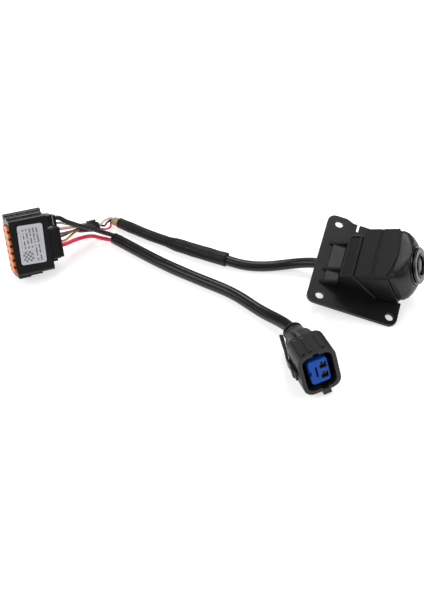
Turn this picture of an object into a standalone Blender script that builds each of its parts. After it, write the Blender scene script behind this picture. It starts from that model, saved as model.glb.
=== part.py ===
"""Backup camera kit: a plate-mounted camera, its control module and a two-pin power plug on one harness.

Every length is in millimetres until a mesh is made; each unit is modelled square in its own frame and
placed by an empty, so that its fits can be read from the constants below.
"""
import math

import bmesh
import bpy
from mathutils import Euler, Matrix, Vector

MM = 0.001
GAP = 0.3  # clearance between pieces that touch

# Where the units lie. Each frame is a place in millimetres and a turn in degrees about X, Y and Z.
KIT_SHIFT = (0.6, -10.6, 0.0)
CAMERA_PLACE = (75.4, 10.1, 10.2)
CAMERA_TURN = (14.6, 11.0, -14.1)
MODULE_PLACE = (-100.4, 21.3, 32.0)
MODULE_TURN = (59.5, 4.8, 23.8)
PLUG2_PLACE = (38.8, -29.1, 7.4)
PLUG2_TURN = (11.0, -13.5, -73.5)

# Mounting plate: X towards the lens, Y up the plate, Z out of its front face, origin at the screw pattern.
PLATE_T = 2.0
SCREW_X = 35.5
SCREW_Y = 43.5
SCREW_R = 2.1
PLATE_LEFT = 6.2  # from a screw's centre to the plate's edge
PLATE_RIGHT = 4.0
PLATE_END = 4.5
PLATE_ROUND = 4.0
TRIM_IN = 1.5  # how far the plate steps in between its ears

# Camera body: its own frame starts on the plate's bracket and rises along the optical axis.
BODY_TILT = 31.0
BODY_ROOT = (-6.0, 0.0, 15.2)
BODY_W = 29.2
BODY_H = 22.0
SEAM_RUN = 6.7  # how far the slanted rear joint runs forward over the body's height
SEAM_DROP = 19.4
PAD_T = 1.6
PAD_SPLIT = 9.3  # from the rear joint to the groove between the pads
PAD_GROOVE = 1.2
PAD_FRONT = 19.6  # front of the front pad on the centre line
ARC_R = 35.0  # curve of the front pad's front edge
NOSE_GROOVE = 1.0
WALL = 2.2

# Lens
LENS_DROP = 11.0  # optical axis below the top of the body
NOSE_TIP = 26.0
COLLAR_R = 9.4
FACE_R = 9.0
BARREL_R = 5.6
GLASS_R = 4.4

# Rear cover and cable gland behind the plate
COVER_X = -5.0
COVER_Y = 2.0
COVER_R = 9.0
COVER_DEPTH = 9.3
COVER_WALL = 1.4
GLAND_TILT = 15.0
GLAND_R = 3.3
CABLE_R = 2.65

# Control module: X towards its harness plug, Y up, Z out of the labelled face.
MODULE_L = 19.0
MODULE_H = 27.6
MODULE_T = 14.0
MODULE_WALL = 1.6
RAIL_R = 1.9
LABEL_W = 12.8
LABEL_H = 19.8
LABEL_T = 0.35
LABEL_PLACE = (9.6, -12.5)  # centre of the label on the face
LABEL_TURN = -3.0  # the label is stuck on slightly crooked
PINS_PER_ROW = 6
PIN_PITCH = 3.6
PIN_ROW_PITCH = 4.6
PIN_W = 0.7
RETAINER_T = 2.8

# Harness plug, in the module's frame
PLUG_IN = MODULE_L - 4.4  # where its nose starts inside the module
PLUG_OUT = MODULE_L + 4.4
PLUG_TOP = -7.0
PLUG_BOTTOM = -22.8
COVER_T = 1.4
LATCH_W = 8.4
LATCH_T = 1.5
LATCH_LIFT = 0.8  # free travel under the thumb end

# Two-pin plug: X out of its mouth, Z up.
HOOD_W = 18.2
HOOD_H = 22.6
HOOD_L = 14.7
HOOD_WALL = 1.9
BARREL_W = 13.4
BARREL_H = 13.4
BARREL_L = 19.1
CORE_W = 9.2
CORE_H = 13.2
SOCKET_W = 3.4
SOCKET_Y = 2.2
SOCKET_PITCH = 5.6
TIP_RECESS = 0.5
SEAL_CLEAR_W = 1.0  # between the core seal and the hood's inside, at the sides and at the top and bottom
SEAL_CLEAR_H = 1.2
TAB_DROP = 2.7
ARM_REAR = 1.6  # where the lock arm's thumb end lies
ARM_NARROW = 5.6  # half width between the arm's rear end and the middle of the plug
ARM_PIVOT = 21.8
SLEEVE_R = 3.0
TAPE_R = 2.4
COLLAR_RADIUS = 2.3

BLACK = (0.018, 0.018, 0.019)
CHARCOAL = (0.05, 0.047, 0.046)
FINISHES = {
    "housing_black": (BLACK, 0.42, 0.0),
    "plate_black": ((0.012, 0.012, 0.013), 0.5, 0.0),
    "pad_black": ((0.022, 0.023, 0.026), 0.6, 0.0),
    "lens_black": ((0.01, 0.01, 0.01), 0.2, 0.0),
    "lens_glass": ((0.3, 0.34, 0.3), 0.03, 0.0),
    "module_black": ((0.015, 0.015, 0.016), 0.33, 0.0),
    "retainer_orange": ((0.9, 0.32, 0.06), 0.4, 0.0),
    "label_grey": ((0.62, 0.62, 0.66), 0.45, 0.0),
    "connector_grey": (CHARCOAL, 0.5, 0.0),
    "retainer_blue": ((0.01, 0.11, 0.48), 0.35, 0.0),
    "terminal_bronze": ((0.55, 0.36, 0.2), 0.35, 1.0),
    "board_green": ((0.02, 0.12, 0.05), 0.5, 0.0),
    "chip_black": ((0.02, 0.02, 0.02), 0.6, 0.0),
    "seal_rubber": ((0.03, 0.03, 0.03), 0.8, 0.0),
    "sleeve_matte": ((0.02, 0.02, 0.021), 0.75, 0.0),
    "sleeve_gloss": ((0.012, 0.012, 0.014), 0.25, 0.0),
    "foil_tan": ((0.55, 0.45, 0.34), 0.45, 0.3),
    "wire_black": ((0.012, 0.012, 0.012), 0.35, 0.0),
    "wire_white": ((0.8, 0.78, 0.72), 0.45, 0.0),
    "wire_pink": ((0.8, 0.6, 0.56), 0.45, 0.0),
    "wire_brown": ((0.2, 0.1, 0.06), 0.45, 0.0),
    "wire_grey": ((0.09, 0.09, 0.1), 0.45, 0.0),
    "wire_orange": ((0.75, 0.33, 0.06), 0.45, 0.0),
    "wire_red": ((0.68, 0.03, 0.1), 0.35, 0.0),
}

# Cord routes: centre points in millimetres, chosen by hand, before the kit's shift.
ROUTES = {
    "camera_cable": [(57.9, 18.4, 7.5), (52.9, 19.9, 7.1), (47.6, 21.4, 5.7), (41.0, 22.4, 4.0),
                     (32.3, 21.9, 2.9), (23.6, 21.5, 2.7), (14.4, 23.1, 2.75), (7.7, 25.6, 3.5)],
    "camera_sleeve": [(-49.7, 55.7, 3.0), (-43.8, 51.9, 3.0), (-35.6, 46.9, 3.0), (-27.4, 42.4, 3.0),
                      (-21.0, 39.0, 3.1), (-17.8, 37.3, 3.4), (-11.5, 34.0, 3.75), (-3.6, 30.3, 3.75),
                      (1.5, 28.1, 3.75), (7.4, 25.7, 3.75)],
    "power_sleeve": [(-51.6, 43.0, 3.05), (-42.9, 36.6, 3.05), (-32.1, 28.3, 3.05), (-22.0, 21.2, 3.05),
                     (-13.2, 15.7, 3.05), (-5.1, 11.0, 3.05), (10.5, 1.7, 3.05), (17.0, -4.2, 3.05),
                     (23.6, -10.7, 3.15), (30.4, -16.6, 4.1)],
}


TAPE = [(-69.5, 40.5, 12.2), (-66.9, 42.5, 10.8), (-64.0, 44.2, 9.5), (-60.6, 46.6, 8.2)]
COLLAR = [(-52.5, 57.5, 2.6), (-51.4, 56.8, 2.6), (-49.97, 55.9, 2.8)]

# Wires from the harness plug into the tape: radius, finish, exit (y, z in the module's frame) and turn
# round the tape's end.
THIN_WIRES = {
    "white_wire": (0.65, "wire_white", (-6.4, -9.8), 120),
    "pink_wire_1": (0.6, "wire_pink", (-8.2, -3.8), 60),
    "pink_wire_2": (0.6, "wire_pink", (-9.2, -6.4), 184),
    "brown_wire": (0.6, "wire_brown", (-11.0, -3.6), 4),
    "grey_wire": (0.6, "wire_grey", (-12.6, -5.6), 244),
    "orange_wire": (0.6, "wire_orange", (-14.9, -4.2), 304),
}
# Power wires from the harness plug to the power sleeve: radius, finish, exit, then route points.
POWER_WIRES = {
    "black_wire": (1.2, "wire_black", (-3.2, -8.0),
                   [(-75.5, 36.6, 20.5), (-72.3, 36.7, 19.2), (-69.4, 37.5, 16.9), (-65.2, 39.7, 13.6),
                    (-61.6, 41.3, 10.7), (-57.4, 43.8, 6.6), (-53.6, 44.9, 4.1), (-51.19, 44.06, 3.9)]),
    "red_wire": (1.05, "wire_red", (-16.8, -3.6),
                 [(-71.6, 29.8, 12.9), (-67.2, 34.0, 11.4), (-62.5, 38.8, 8.4), (-58.0, 42.0, 3.9),
                  (-55.2, 43.2, 2.2), (-52.49, 42.29, 2.3)]),
}
# Leads from the tape to the foil collar: radius, finish, turns round the tape and the collar, middle points.
LEADS = {
    "cream_wire": (0.7, "wire_white", 100, 95, [(-57.6, 51.8, 7.6), (-55.9, 56.0, 5.6)]),
    "lead_wire_black": (0.55, "wire_black", 350, 190, [(-57.0, 49.9, 5.9), (-56.4, 55.2, 3.6)]),
    "lead_wire_red": (0.5, "wire_red", 240, 330, [(-56.6, 48.8, 4.4), (-54.3, 53.0, 2.5)]),
}


def remove_everything():
    """Empty the file of the objects that it starts with."""
    for obj in list(bpy.data.objects):
        bpy.data.objects.remove(obj, do_unlink=True)


def make_finish(name):
    """A Principled material with the finish's colour, roughness and metallic value."""
    colour, roughness, metallic = FINISHES[name]
    material = bpy.data.materials.new(name)
    material.use_nodes = True
    shader = material.node_tree.nodes["Principled BSDF"]
    shader.inputs["Base Color"].default_value = (*colour, 1.0)
    shader.inputs["Roughness"].default_value = roughness
    shader.inputs["Metallic"].default_value = metallic
    return material


def make_frame(name, place, turn=(0.0, 0.0, 0.0), parent=None):
    """An empty that carries a unit: place in millimetres, turn in degrees."""
    frame = bpy.data.objects.new(name, None)
    bpy.context.collection.objects.link(frame)
    frame.location = Vector(place) * MM
    frame.rotation_euler = [math.radians(a) for a in turn]
    frame.parent = parent
    return frame


def place_mesh(name, bm, parent, finish=None, at=(0.0, 0.0, 0.0)):
    """Turn a bmesh in millimetres into an object; with no finish it is a hidden cutter."""
    bmesh.ops.translate(bm, verts=bm.verts, vec=-Vector(at))
    bmesh.ops.scale(bm, vec=(MM, MM, MM), verts=bm.verts)
    bmesh.ops.recalc_face_normals(bm, faces=bm.faces)
    mesh = bpy.data.meshes.new(name)
    bm.to_mesh(mesh)
    bm.free()
    obj = bpy.data.objects.new(name, mesh)
    bpy.context.collection.objects.link(obj)
    obj.parent = parent
    obj.location = Vector(at) * MM
    if finish is None:
        obj.hide_render = True
        obj.display_type = "WIRE"
    else:
        mesh.materials.append(MATERIALS[finish])
        mesh.shade_smooth()
        mesh.set_sharp_from_angle(angle=math.radians(35))
    return obj


def combine(target, operation, *tools):
    """Add one exact Boolean per tool to the target."""
    for tool in tools:
        step = target.modifiers.new(operation.lower(), "BOOLEAN")
        step.operation = operation
        step.solver = "EXACT"
        step.object = tool
    return target


def block(low, high, radius=0.0, axis=None, segments=4, edge=0.0):
    """A box between two corners; edges along axis take the radius, all others the small edge."""
    bm = bmesh.new()
    bmesh.ops.create_cube(bm, size=1.0)
    size = [b - a for a, b in zip(low, high)]
    middle = [(a + b) / 2 for a, b in zip(low, high)]
    bmesh.ops.scale(bm, vec=size, verts=bm.verts)
    bmesh.ops.translate(bm, vec=middle, verts=bm.verts)
    if axis is not None:
        k = "XYZ".index(axis)
        along = [e for e in bm.edges if abs((e.verts[0].co - e.verts[1].co).normalized()[k]) > 0.9]
        bmesh.ops.bevel(bm, geom=along, offset=radius, offset_type="OFFSET", segments=segments, profile=0.5,
                        affect="EDGES", clamp_overlap=True)
    if edge > 0.0:
        sharp = [e for e in bm.edges if e.calc_face_angle(0.0) > math.radians(40)]
        bmesh.ops.bevel(bm, geom=sharp, offset=edge, offset_type="OFFSET", segments=1, profile=0.5,
                        affect="EDGES", clamp_overlap=True)
    return bm


def prism(outline, axis, low, high, edge=0.0):
    """Extrude an outline along an axis; its points are the two other coordinates in X, Y, Z order."""
    bm = bmesh.new()
    k = "XYZ".index(axis)
    corners = []
    for a, b in outline:
        point = [a, b]
        point.insert(k, low)
        corners.append(bm.verts.new(point))
    face = bm.faces.new(corners)
    grown = bmesh.ops.extrude_face_region(bm, geom=[face])
    travel = [0.0, 0.0, 0.0]
    travel[k] = high - low
    bmesh.ops.translate(bm, vec=travel, verts=[v for v in grown["geom"] if isinstance(v, bmesh.types.BMVert)])
    if edge > 0.0:
        sharp = [e for e in bm.edges if e.calc_face_angle(0.0) > math.radians(40)]
        bmesh.ops.bevel(bm, geom=sharp, offset=edge, offset_type="OFFSET", segments=1, profile=0.5,
                        affect="EDGES", clamp_overlap=True)
    return bm


def turned(profile, centre, axis, sides=32):
    """Spin a closed (radius, along) profile round an axis through centre."""
    bm = bmesh.new()
    ring = [bm.verts.new((max(r, 0.0), 0.0, along)) for r, along in profile]
    for a, b in zip(ring, ring[1:]):
        bm.edges.new((a, b))
    if min(r for r, _ in profile) > 0.0:
        bm.edges.new((ring[-1], ring[0]))
    bmesh.ops.spin(bm, geom=bm.verts[:] + bm.edges[:], cent=(0, 0, 0), axis=(0, 0, 1), angle=2 * math.pi,
                   steps=sides, use_merge=True)
    bmesh.ops.remove_doubles(bm, verts=bm.verts, dist=0.001)
    turn = Vector((0, 0, 1)).rotation_difference(Vector(axis)).to_matrix().to_4x4()
    bmesh.ops.transform(bm, matrix=Matrix.Translation(centre) @ turn, verts=bm.verts)
    return bm


def rod(radius, start, end, sides=24):
    """A plain round bar between two points."""
    axis = Vector(end) - Vector(start)
    length = axis.length
    profile = [(0.0, 0.0), (radius, 0.0), (radius, length), (0.0, length)]
    return turned(profile, start, axis.normalized(), sides)


def ring(outer, inner, low, high, centre, axis, sides=32, edge=0.0):
    """A flat ring between two heights along an axis, with chamfered outer corners."""
    profile = [(inner, low), (outer - edge, low), (outer, low + edge), (outer, high - edge),
               (outer - edge, high), (inner, high)]
    if edge == 0.0:
        profile = [(inner, low), (outer, low), (outer, high), (inner, high)]
    return turned(profile, centre, axis, sides)


def loft(sections, sides):
    """Bridge rounded-box sections: each is (along X, half width, half height, centre Z, squareness)."""
    bm = bmesh.new()
    loops = []
    for along, half_w, half_h, centre, power in sections:
        verts = []
        for i in range(sides):
            angle = 2 * math.pi * i / sides
            c, s = math.cos(angle), math.sin(angle)
            y = half_w * math.copysign(abs(c) ** (2 / power), c)
            z = half_h * math.copysign(abs(s) ** (2 / power), s)
            verts.append(bm.verts.new((along, y, centre + z)))
        loops.append([bm.edges.new((verts[i], verts[(i + 1) % sides])) for i in range(sides)])
    for a, b in zip(loops, loops[1:]):
        bmesh.ops.bridge_loops(bm, edges=a + b)
    for edges in (loops[0], loops[-1]):
        bmesh.ops.contextual_create(bm, geom=edges)
    return bm


def smooth_route(points, spacing):
    """Read a smooth curve through the route's points, with a point about every spacing."""
    pts = [Vector(p) for p in points]
    padded = [2 * pts[0] - pts[1]] + pts + [2 * pts[-1] - pts[-2]]
    out = []
    for p0, p1, p2, p3 in zip(padded, padded[1:], padded[2:], padded[3:]):
        steps = max(1, round((p2 - p1).length / spacing))
        for i in range(steps):
            t = i / steps
            a = 2 * p1
            b = (p2 - p0) * t
            c = (2 * p0 - 5 * p1 + 4 * p2 - p3) * t * t
            d = (3 * p1 - p0 - 3 * p2 + p3) * t ** 3
            out.append((a + b + c + d) / 2)
    out.append(pts[-1])
    return out


def cord(name, points, radius, finish, resolution=2, widths=None):
    """A plain tube along a route; widths gives (share of the length, radius factor) pairs."""
    route = smooth_route(points, 5.0 * radius)
    curve = bpy.data.curves.new(name, "CURVE")
    curve.dimensions = "3D"
    curve.bevel_depth = radius * MM
    curve.bevel_resolution = resolution
    curve.use_fill_caps = True
    spline = curve.splines.new("POLY")
    spline.points.add(len(route) - 1)
    for i, (point, spot) in enumerate(zip(spline.points, route)):
        point.co = (*(spot * MM), 1.0)
        point.radius = width_at(widths, i / (len(route) - 1)) if widths else 1.0
    curve.materials.append(MATERIALS[finish])
    obj = bpy.data.objects.new(name, curve)
    bpy.context.collection.objects.link(obj)
    obj.parent = KIT
    return obj


def width_at(widths, share):
    """Read a list of (share, factor) pairs as a line graph."""
    for (s0, f0), (s1, f1) in zip(widths, widths[1:]):
        if share <= s1:
            return f0 + (f1 - f0) * (share - s0) / (s1 - s0)
    return widths[-1][1]


# ---------------------------------------------------------------- camera unit

def body_to_plate(b, t):
    """A point of the body's middle plane in the plate's frame: (x, z)."""
    tilt = math.radians(BODY_TILT)
    x = BODY_ROOT[0] + b * math.cos(tilt) - t * math.sin(tilt)
    z = BODY_ROOT[2] + b * math.sin(tilt) + t * math.cos(tilt)
    return x, z


def plate_height_in_body(b, z):
    """The body-frame height t at which the plate-frame height z is met, at a run of b."""
    tilt = math.radians(BODY_TILT)
    return (z - BODY_ROOT[2] - b * math.sin(tilt)) / math.cos(tilt)


def make_plate(frame):
    """Flat plate with four screw holes, a ribbed ramp and the bracket that carries the body."""
    left = -SCREW_X / 2 - PLATE_LEFT
    right = SCREW_X / 2 + PLATE_RIGHT
    end = SCREW_Y / 2 + PLATE_END
    plate = place_mesh("mounting_plate", block((left, -end, 0), (right, end, PLATE_T), PLATE_ROUND, "Z", 5),
                       frame, "plate_black")
    root_x, root_z = body_to_plate(-6.6, 0.0)
    top_x, top_z = body_to_plate(-0.15, 0.0)
    foot_x, foot_z = body_to_plate(SEAM_RUN - 0.25, -SEAM_DROP)
    side = BODY_W / 2 - 0.2
    low = PLATE_T / 2
    outline = [(root_x, low), (root_x, root_z), (top_x, top_z), (foot_x, PLATE_T), (foot_x, low)]
    bracket = place_mesh("add_bracket", prism(outline, "Y", -side, 10.6, 0.5), frame)
    wedge = [(-18.4, low), (-18.0, PLATE_T + 1.1), (root_x + 0.3, 5.2), (root_x + 0.3, low)]
    ramp = place_mesh("add_ramp", prism(wedge, "Y", -15.2, 9.4), frame)
    ribs = []
    for i, y in enumerate((8.8, -6.8, -14.2)):
        outline = [(-20.3, low), (-20.3, PLATE_T), (root_x + 0.3, 7.2), (root_x + 0.3, low)]
        ribs.append(place_mesh(f"add_rib_{i}", prism(outline, "Y", y - 0.65, y + 0.65), frame))
    combine(plate, "UNION", bracket, ramp, *ribs)
    cuts = []
    for sx in (-1, 1):
        for sy in (-1, 1):
            x, y = sx * SCREW_X / 2, sy * SCREW_Y / 2
            hole = rod(SCREW_R, (x, y, -1), (x, y, PLATE_T + 1), 24)
            cuts.append(place_mesh(f"cut_screw_{sx}_{sy}", hole, frame))
    trim = block((right - TRIM_IN, -12.6, -1), (right + 1, 12.2, PLATE_T + 1))
    cuts.append(place_mesh("cut_right_trim", trim, frame))
    cuts.append(place_mesh("cut_top_trim", prism([(-14.6, end + 1), (-14.6, end), (-10.6, end - 1.7),
                                                  (8.0, end - 1.7), (12.0, end), (12.0, end + 1)],
                                                 "Z", -1, PLATE_T + 1), frame))
    cuts.append(place_mesh("cut_slit", block((-8.6, end - 6.0, -1), (-7.4, end, PLATE_T + 1)), frame))
    lead = rod(4.2, (COVER_X, COVER_Y, -1), (COVER_X, COVER_Y, 10.2), 16)
    cuts.append(place_mesh("cut_lead_hole", lead, frame))
    combine(plate, "DIFFERENCE", *cuts)
    return plate


def make_strip_recess(plate, body):
    """The shallow sunk strip along the bracket's sloping top."""
    tool = place_mesh("cut_strip", block((-5.9, -BODY_W / 2 + 1.0, -0.5), (-1.1, 9.6, 2.0)), body)
    combine(plate, "DIFFERENCE", tool)


def arc_tool(name, body, radius):
    """Round upright bar whose front side is the curve that the pad, shell and nose share."""
    centre = PAD_FRONT - ARC_R
    return place_mesh(name, rod(radius, (centre, 0, -BODY_H - 8), (centre, 0, 6), 96), body)


def make_housing(body):
    """Camera shell behind the nose: open at the front, slanted at the rear joint."""
    floor = PLATE_T + GAP
    front = PAD_FRONT + 4.0
    top = -PAD_T - GAP
    slope = SEAM_RUN / SEAM_DROP
    flat_start = (BODY_H - 0.1 + plate_height_in_body(0.0, floor)) / math.tan(math.radians(BODY_TILT))
    outline = [(0.2 - top * slope, top), (front, top), (front, -BODY_H), (flat_start + 0.4, -BODY_H),
               (SEAM_RUN + 0.4, plate_height_in_body(SEAM_RUN + 0.4, floor))]
    half = BODY_W / 2
    shell = place_mesh("camera_housing", prism(outline, "Y", -half, half, 0.8), body, "housing_black")
    combine(shell, "INTERSECT", arc_tool("keep_shell_arc", body, ARC_R + 0.4))
    hollow = block((9.2, -half + WALL, -BODY_H + WALL), (front + 1, half - WALL, top - 1.8), 2.0, "X", 3)
    lead = rod(3.0, (2.0, COVER_Y, -11.0), (10.0, COVER_Y, -11.0), 16)
    combine(shell, "DIFFERENCE", place_mesh("cut_shell_hollow", hollow, body),
            place_mesh("cut_shell_lead", lead, body))
    return shell


def make_pads(body):
    """Two soft-touch pads on the sloping top, with a straight groove between them and an arched front."""
    half = BODY_W / 2 - 0.2
    rear = block((0.45, -half, -PAD_T), (PAD_SPLIT - PAD_GROOVE / 2, half, 0.0), 0.0, None, 1, 0.45)
    place_mesh("top_pad_rear", rear, body, "pad_black")
    front = block((PAD_SPLIT + PAD_GROOVE / 2, -half, -PAD_T), (PAD_FRONT + 4, half, 0.0), 0.0, None, 1, 0.45)
    front_pad = place_mesh("top_pad_front", front, body, "pad_black")
    combine(front_pad, "INTERSECT", arc_tool("keep_pad_arc", body, ARC_R))


def make_nose(body):
    """Domed front cover that blends the boxy shell into the round lens opening."""
    c = -BODY_H / 2
    sections = [(13.0, 14.6, 11.0, c, 9), (20.0, 14.5, 10.95, c, 8), (22.3, 13.9, 10.6, c, 6),
                (24.2, 12.6, 10.2, c, 4), (25.4, 11.3, 9.95, c, 2.8), (NOSE_TIP, 10.1, 9.85, c, 2.1)]
    inside = [(12.0, 12.6, 9.2, c, 7), (19.0, 12.4, 9.0, c, 6), (20.4, 10.5, 8.0, c, 4)]
    nose = place_mesh("nose_cover", loft(sections, 48), body, "housing_black")
    axis_z = -LENS_DROP
    combine(nose, "DIFFERENCE", place_mesh("cut_nose_hollow", loft(inside, 32), body),
            place_mesh("cut_nose_seat", rod(COLLAR_R + 0.35, (22.3, 0, axis_z), (30, 0, axis_z), 40), body),
            place_mesh("cut_nose_bore", rod(BARREL_R + 0.5, (15, 0, axis_z), (24, 0, axis_z), 32), body),
            arc_tool("cut_nose_arc", body, ARC_R + NOSE_GROOVE))
    return nose


def make_lens(body):
    """Seal, collar, face ring, barrel and three elements on the optical axis."""
    centre = (0.0, 0.0, -LENS_DROP)
    along = (1, 0, 0)
    seal = ring(COLLAR_R - 0.2, BARREL_R + 1.2, 22.6, 23.4, centre, along, 32)
    place_mesh("lens_seal", seal, body, "seal_rubber")
    collar = ring(COLLAR_R, BARREL_R + 0.6, 23.7, 26.6, centre, along, 40, 0.4)
    place_mesh("lens_collar", collar, body, "lens_black")
    face = ring(FACE_R, BARREL_R + 0.4, 26.9, 28.3, centre, along, 40, 0.5)
    place_mesh("lens_face_ring", face, body, "lens_black")
    lip = GLASS_R + 0.3
    barrel = [(lip, 13.9), (BARREL_R - 0.6, 13.9), (BARREL_R - 0.6, 19.0), (BARREL_R, 19.0), (BARREL_R, 28.5),
              (BARREL_R - 0.4, 28.8), (lip, 28.3)]
    place_mesh("lens_barrel", turned(barrel, centre, along, 32), body, "lens_black")
    dome = [(0.0, 25.6), (GLASS_R, 25.6), (GLASS_R, 27.2)]
    dome += [(GLASS_R * math.cos(a), 27.2 + 1.0 * math.sin(a)) for a in (0.5, 1.0)] + [(0.0, 28.2)]
    place_mesh("front_lens", turned(dome, centre, along, 28), body, "lens_glass")
    middle = [(0.0, 21.0), (GLASS_R - 0.6, 20.6), (GLASS_R, 21.6), (GLASS_R, 22.6), (0.0, 23.4)]
    place_mesh("middle_lens", turned(middle, centre, along, 20), body, "lens_glass")
    rear = [(0.0, 16.6), (GLASS_R - 1.0, 16.9), (GLASS_R - 0.1, 17.4), (GLASS_R - 0.1, 18.6), (0.0, 18.2)]
    place_mesh("rear_lens", turned(rear, centre, along, 20), body, "lens_glass")


def make_boards(body):
    """Image sensor and its board, the power board behind it and the socket for the cable's leads."""
    half = BODY_W / 2 - WALL - 1.2
    low, high = -BODY_H + WALL + 0.9, -PAD_T - GAP - 1.8 - 0.9
    place_mesh("sensor_board", block((12.0, -half, low), (12.9, half, high)), body, "board_green")
    sensor = block((13.2, -2.6, -LENS_DROP - 2.6), (13.6, 2.6, -LENS_DROP + 2.6))
    place_mesh("image_sensor", sensor, body, "chip_black")
    place_mesh("power_board", block((10.6, -half, low), (11.5, half, high)), body, "board_green")
    socket = block((9.5, COVER_Y - 2.5, -12.5), (10.3, COVER_Y + 2.5, -9.5))
    place_mesh("lead_socket", socket, body, "seal_rubber")


def make_rear_cover(frame):
    """Round cup behind the plate that the cable leaves sideways, with its gland and two screws."""
    centre = (COVER_X, COVER_Y, 0.0)
    inner = COVER_R - COVER_WALL
    cup = [(0.0, -COVER_DEPTH), (COVER_R - 0.8, -COVER_DEPTH), (COVER_R, -COVER_DEPTH + 0.8), (COVER_R, -GAP),
           (inner, -GAP), (inner, -COVER_DEPTH + COVER_WALL), (0.0, -COVER_DEPTH + COVER_WALL)]
    cover = place_mesh("rear_cover", turned(cup, centre, (0, 0, 1), 32), frame, "housing_black")
    tilt = math.radians(GLAND_TILT)
    along = Vector((-math.cos(tilt), 0.0, -math.sin(tilt)))
    start = Vector((COVER_X, COVER_Y, -3.8))
    hole = rod(GLAND_R + GAP, start + along * 4, start + along * 12, 20)
    holes = [place_mesh("cut_gland_hole", hole, frame)]
    for i, y in enumerate((-4.6, 4.6)):
        spot = Vector((COVER_X, COVER_Y + y, 0.0))
        base = spot - Vector((0, 0, COVER_DEPTH + 1))
        shaft = rod(1.0 + GAP, base, base + Vector((0, 0, 4)), 16)
        sink = rod(1.9 + GAP, base, base + Vector((0, 0, 1.7)), 16)
        holes.append(place_mesh(f"cut_cover_screw_{i}", shaft, frame))
        holes.append(place_mesh(f"cut_cover_head_{i}", sink, frame))
        head = [(0.0, 0.2), (1.6, 0.2), (1.6, 0.6), (0.9, 0.6), (0.9, 5.0), (0.0, 5.0)]
        screw = turned(head, spot + Vector((0, 0, -COVER_DEPTH - 0.1)), (0, 0, 1), 16)
        place_mesh(f"cover_screw_{i + 1}", screw, frame, "terminal_bronze")
    combine(cover, "DIFFERENCE", *holes)
    gland = [(0.0, 4.9), (GLAND_R, 4.9), (GLAND_R, 9.6), (GLAND_R + 0.5, 9.8), (GLAND_R + 0.5, 10.8),
             (CABLE_R + 0.4, 13.0), (0.0, 13.0)]
    place_mesh("cable_gland", turned(gland, start, along, 24), frame, "seal_rubber")


def make_camera_unit():
    """The plate, bracket, body, lens and rear cover."""
    frame = make_frame("camera_frame", CAMERA_PLACE, CAMERA_TURN, KIT)
    body = make_frame("body_frame", BODY_ROOT, (0.0, -BODY_TILT, 0.0), frame)
    plate = make_plate(frame)
    make_strip_recess(plate, body)
    make_housing(body)
    make_pads(body)
    make_nose(body)
    make_lens(body)
    make_boards(body)
    make_rear_cover(frame)


# ---------------------------------------------------------------- control module and its plug

def module_inside(clear=0.0):
    """Low and high corners (y, z) of the module's through opening, less a clearance."""
    inset = MODULE_WALL + clear
    return (-MODULE_H + inset, -MODULE_T + inset), (-inset, -inset)


def make_module_case(frame):
    """Open-ended black case with two rounded rails along its top edge and a sunk place for the label."""
    shell = block((0, -MODULE_H, -MODULE_T), (MODULE_L, 0.9, 0), 1.2, "X", 3)
    case = place_mesh("module_case", shell, frame, "module_black")
    rails = []
    for i, (y, z) in enumerate(((1.3, -MODULE_T + 2.4), (0.5, -MODULE_T / 2 + 1.4))):
        bar = rod(RAIL_R, (0.0, y, z), (MODULE_L - 1.2 * i, y, z), 20)
        rails.append(place_mesh(f"add_rail_{i}", bar, frame))
    feet = []
    for i, (reach, drop) in enumerate(((12.6, 0.6), (6.6, 1.2))):
        inset = 0.3 * (i + 1)
        low = (inset, -MODULE_H - drop, -MODULE_T + 1.5 + inset)
        foot = block(low, (reach, -MODULE_H + 0.5, -0.3 - inset))
        feet.append(place_mesh(f"add_foot_{i}", foot, frame))
    combine(case, "UNION", *rails, *feet)
    low, high = module_inside()
    bore = block((-1, low[0], low[1]), (MODULE_L + 1, high[0], high[1]), 0.8, "X", 2)
    half_w, half_h = LABEL_W / 2 + GAP, LABEL_H / 2 + GAP
    seat = crooked(block((-half_w, -half_h, -0.4), (half_w, half_h, 1.0), 1.3, "Z", 3))
    combine(case, "DIFFERENCE", place_mesh("cut_case_bore", bore, frame),
            place_mesh("cut_label_seat", seat, frame))
    return case


def crooked(bm):
    """Turn and move a shape drawn about the label's own centre to the label's place on the case."""
    turn = Matrix.Rotation(math.radians(LABEL_TURN), 4, "Z")
    bmesh.ops.transform(bm, matrix=Matrix.Translation((*LABEL_PLACE, 0.0)) @ turn, verts=bm.verts)
    return bm


def make_label(frame):
    """Thin label with rounded corners, sunk into the case."""
    x, y = -LABEL_W / 2, LABEL_H / 2
    sheet = crooked(block((x, -y, -0.1), (-x, y, -0.1 + LABEL_T), 1.0, "Z", 3))
    label = place_mesh("module_label", sheet, frame, "label_grey")
    notch = crooked(prism([(x - 1, y - 4.4), (x + 0.7, y - 3.7), (x - 1, y - 3.0)], "Z", -1, 2))
    clip = crooked(prism([(x - 1, y + 1), (x - 1, y - 1.6), (x + 1.6, y + 1)], "Z", -1, 2))
    combine(label, "DIFFERENCE", place_mesh("cut_label_notch", notch, frame),
            place_mesh("cut_label_clip", clip, frame))


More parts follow.
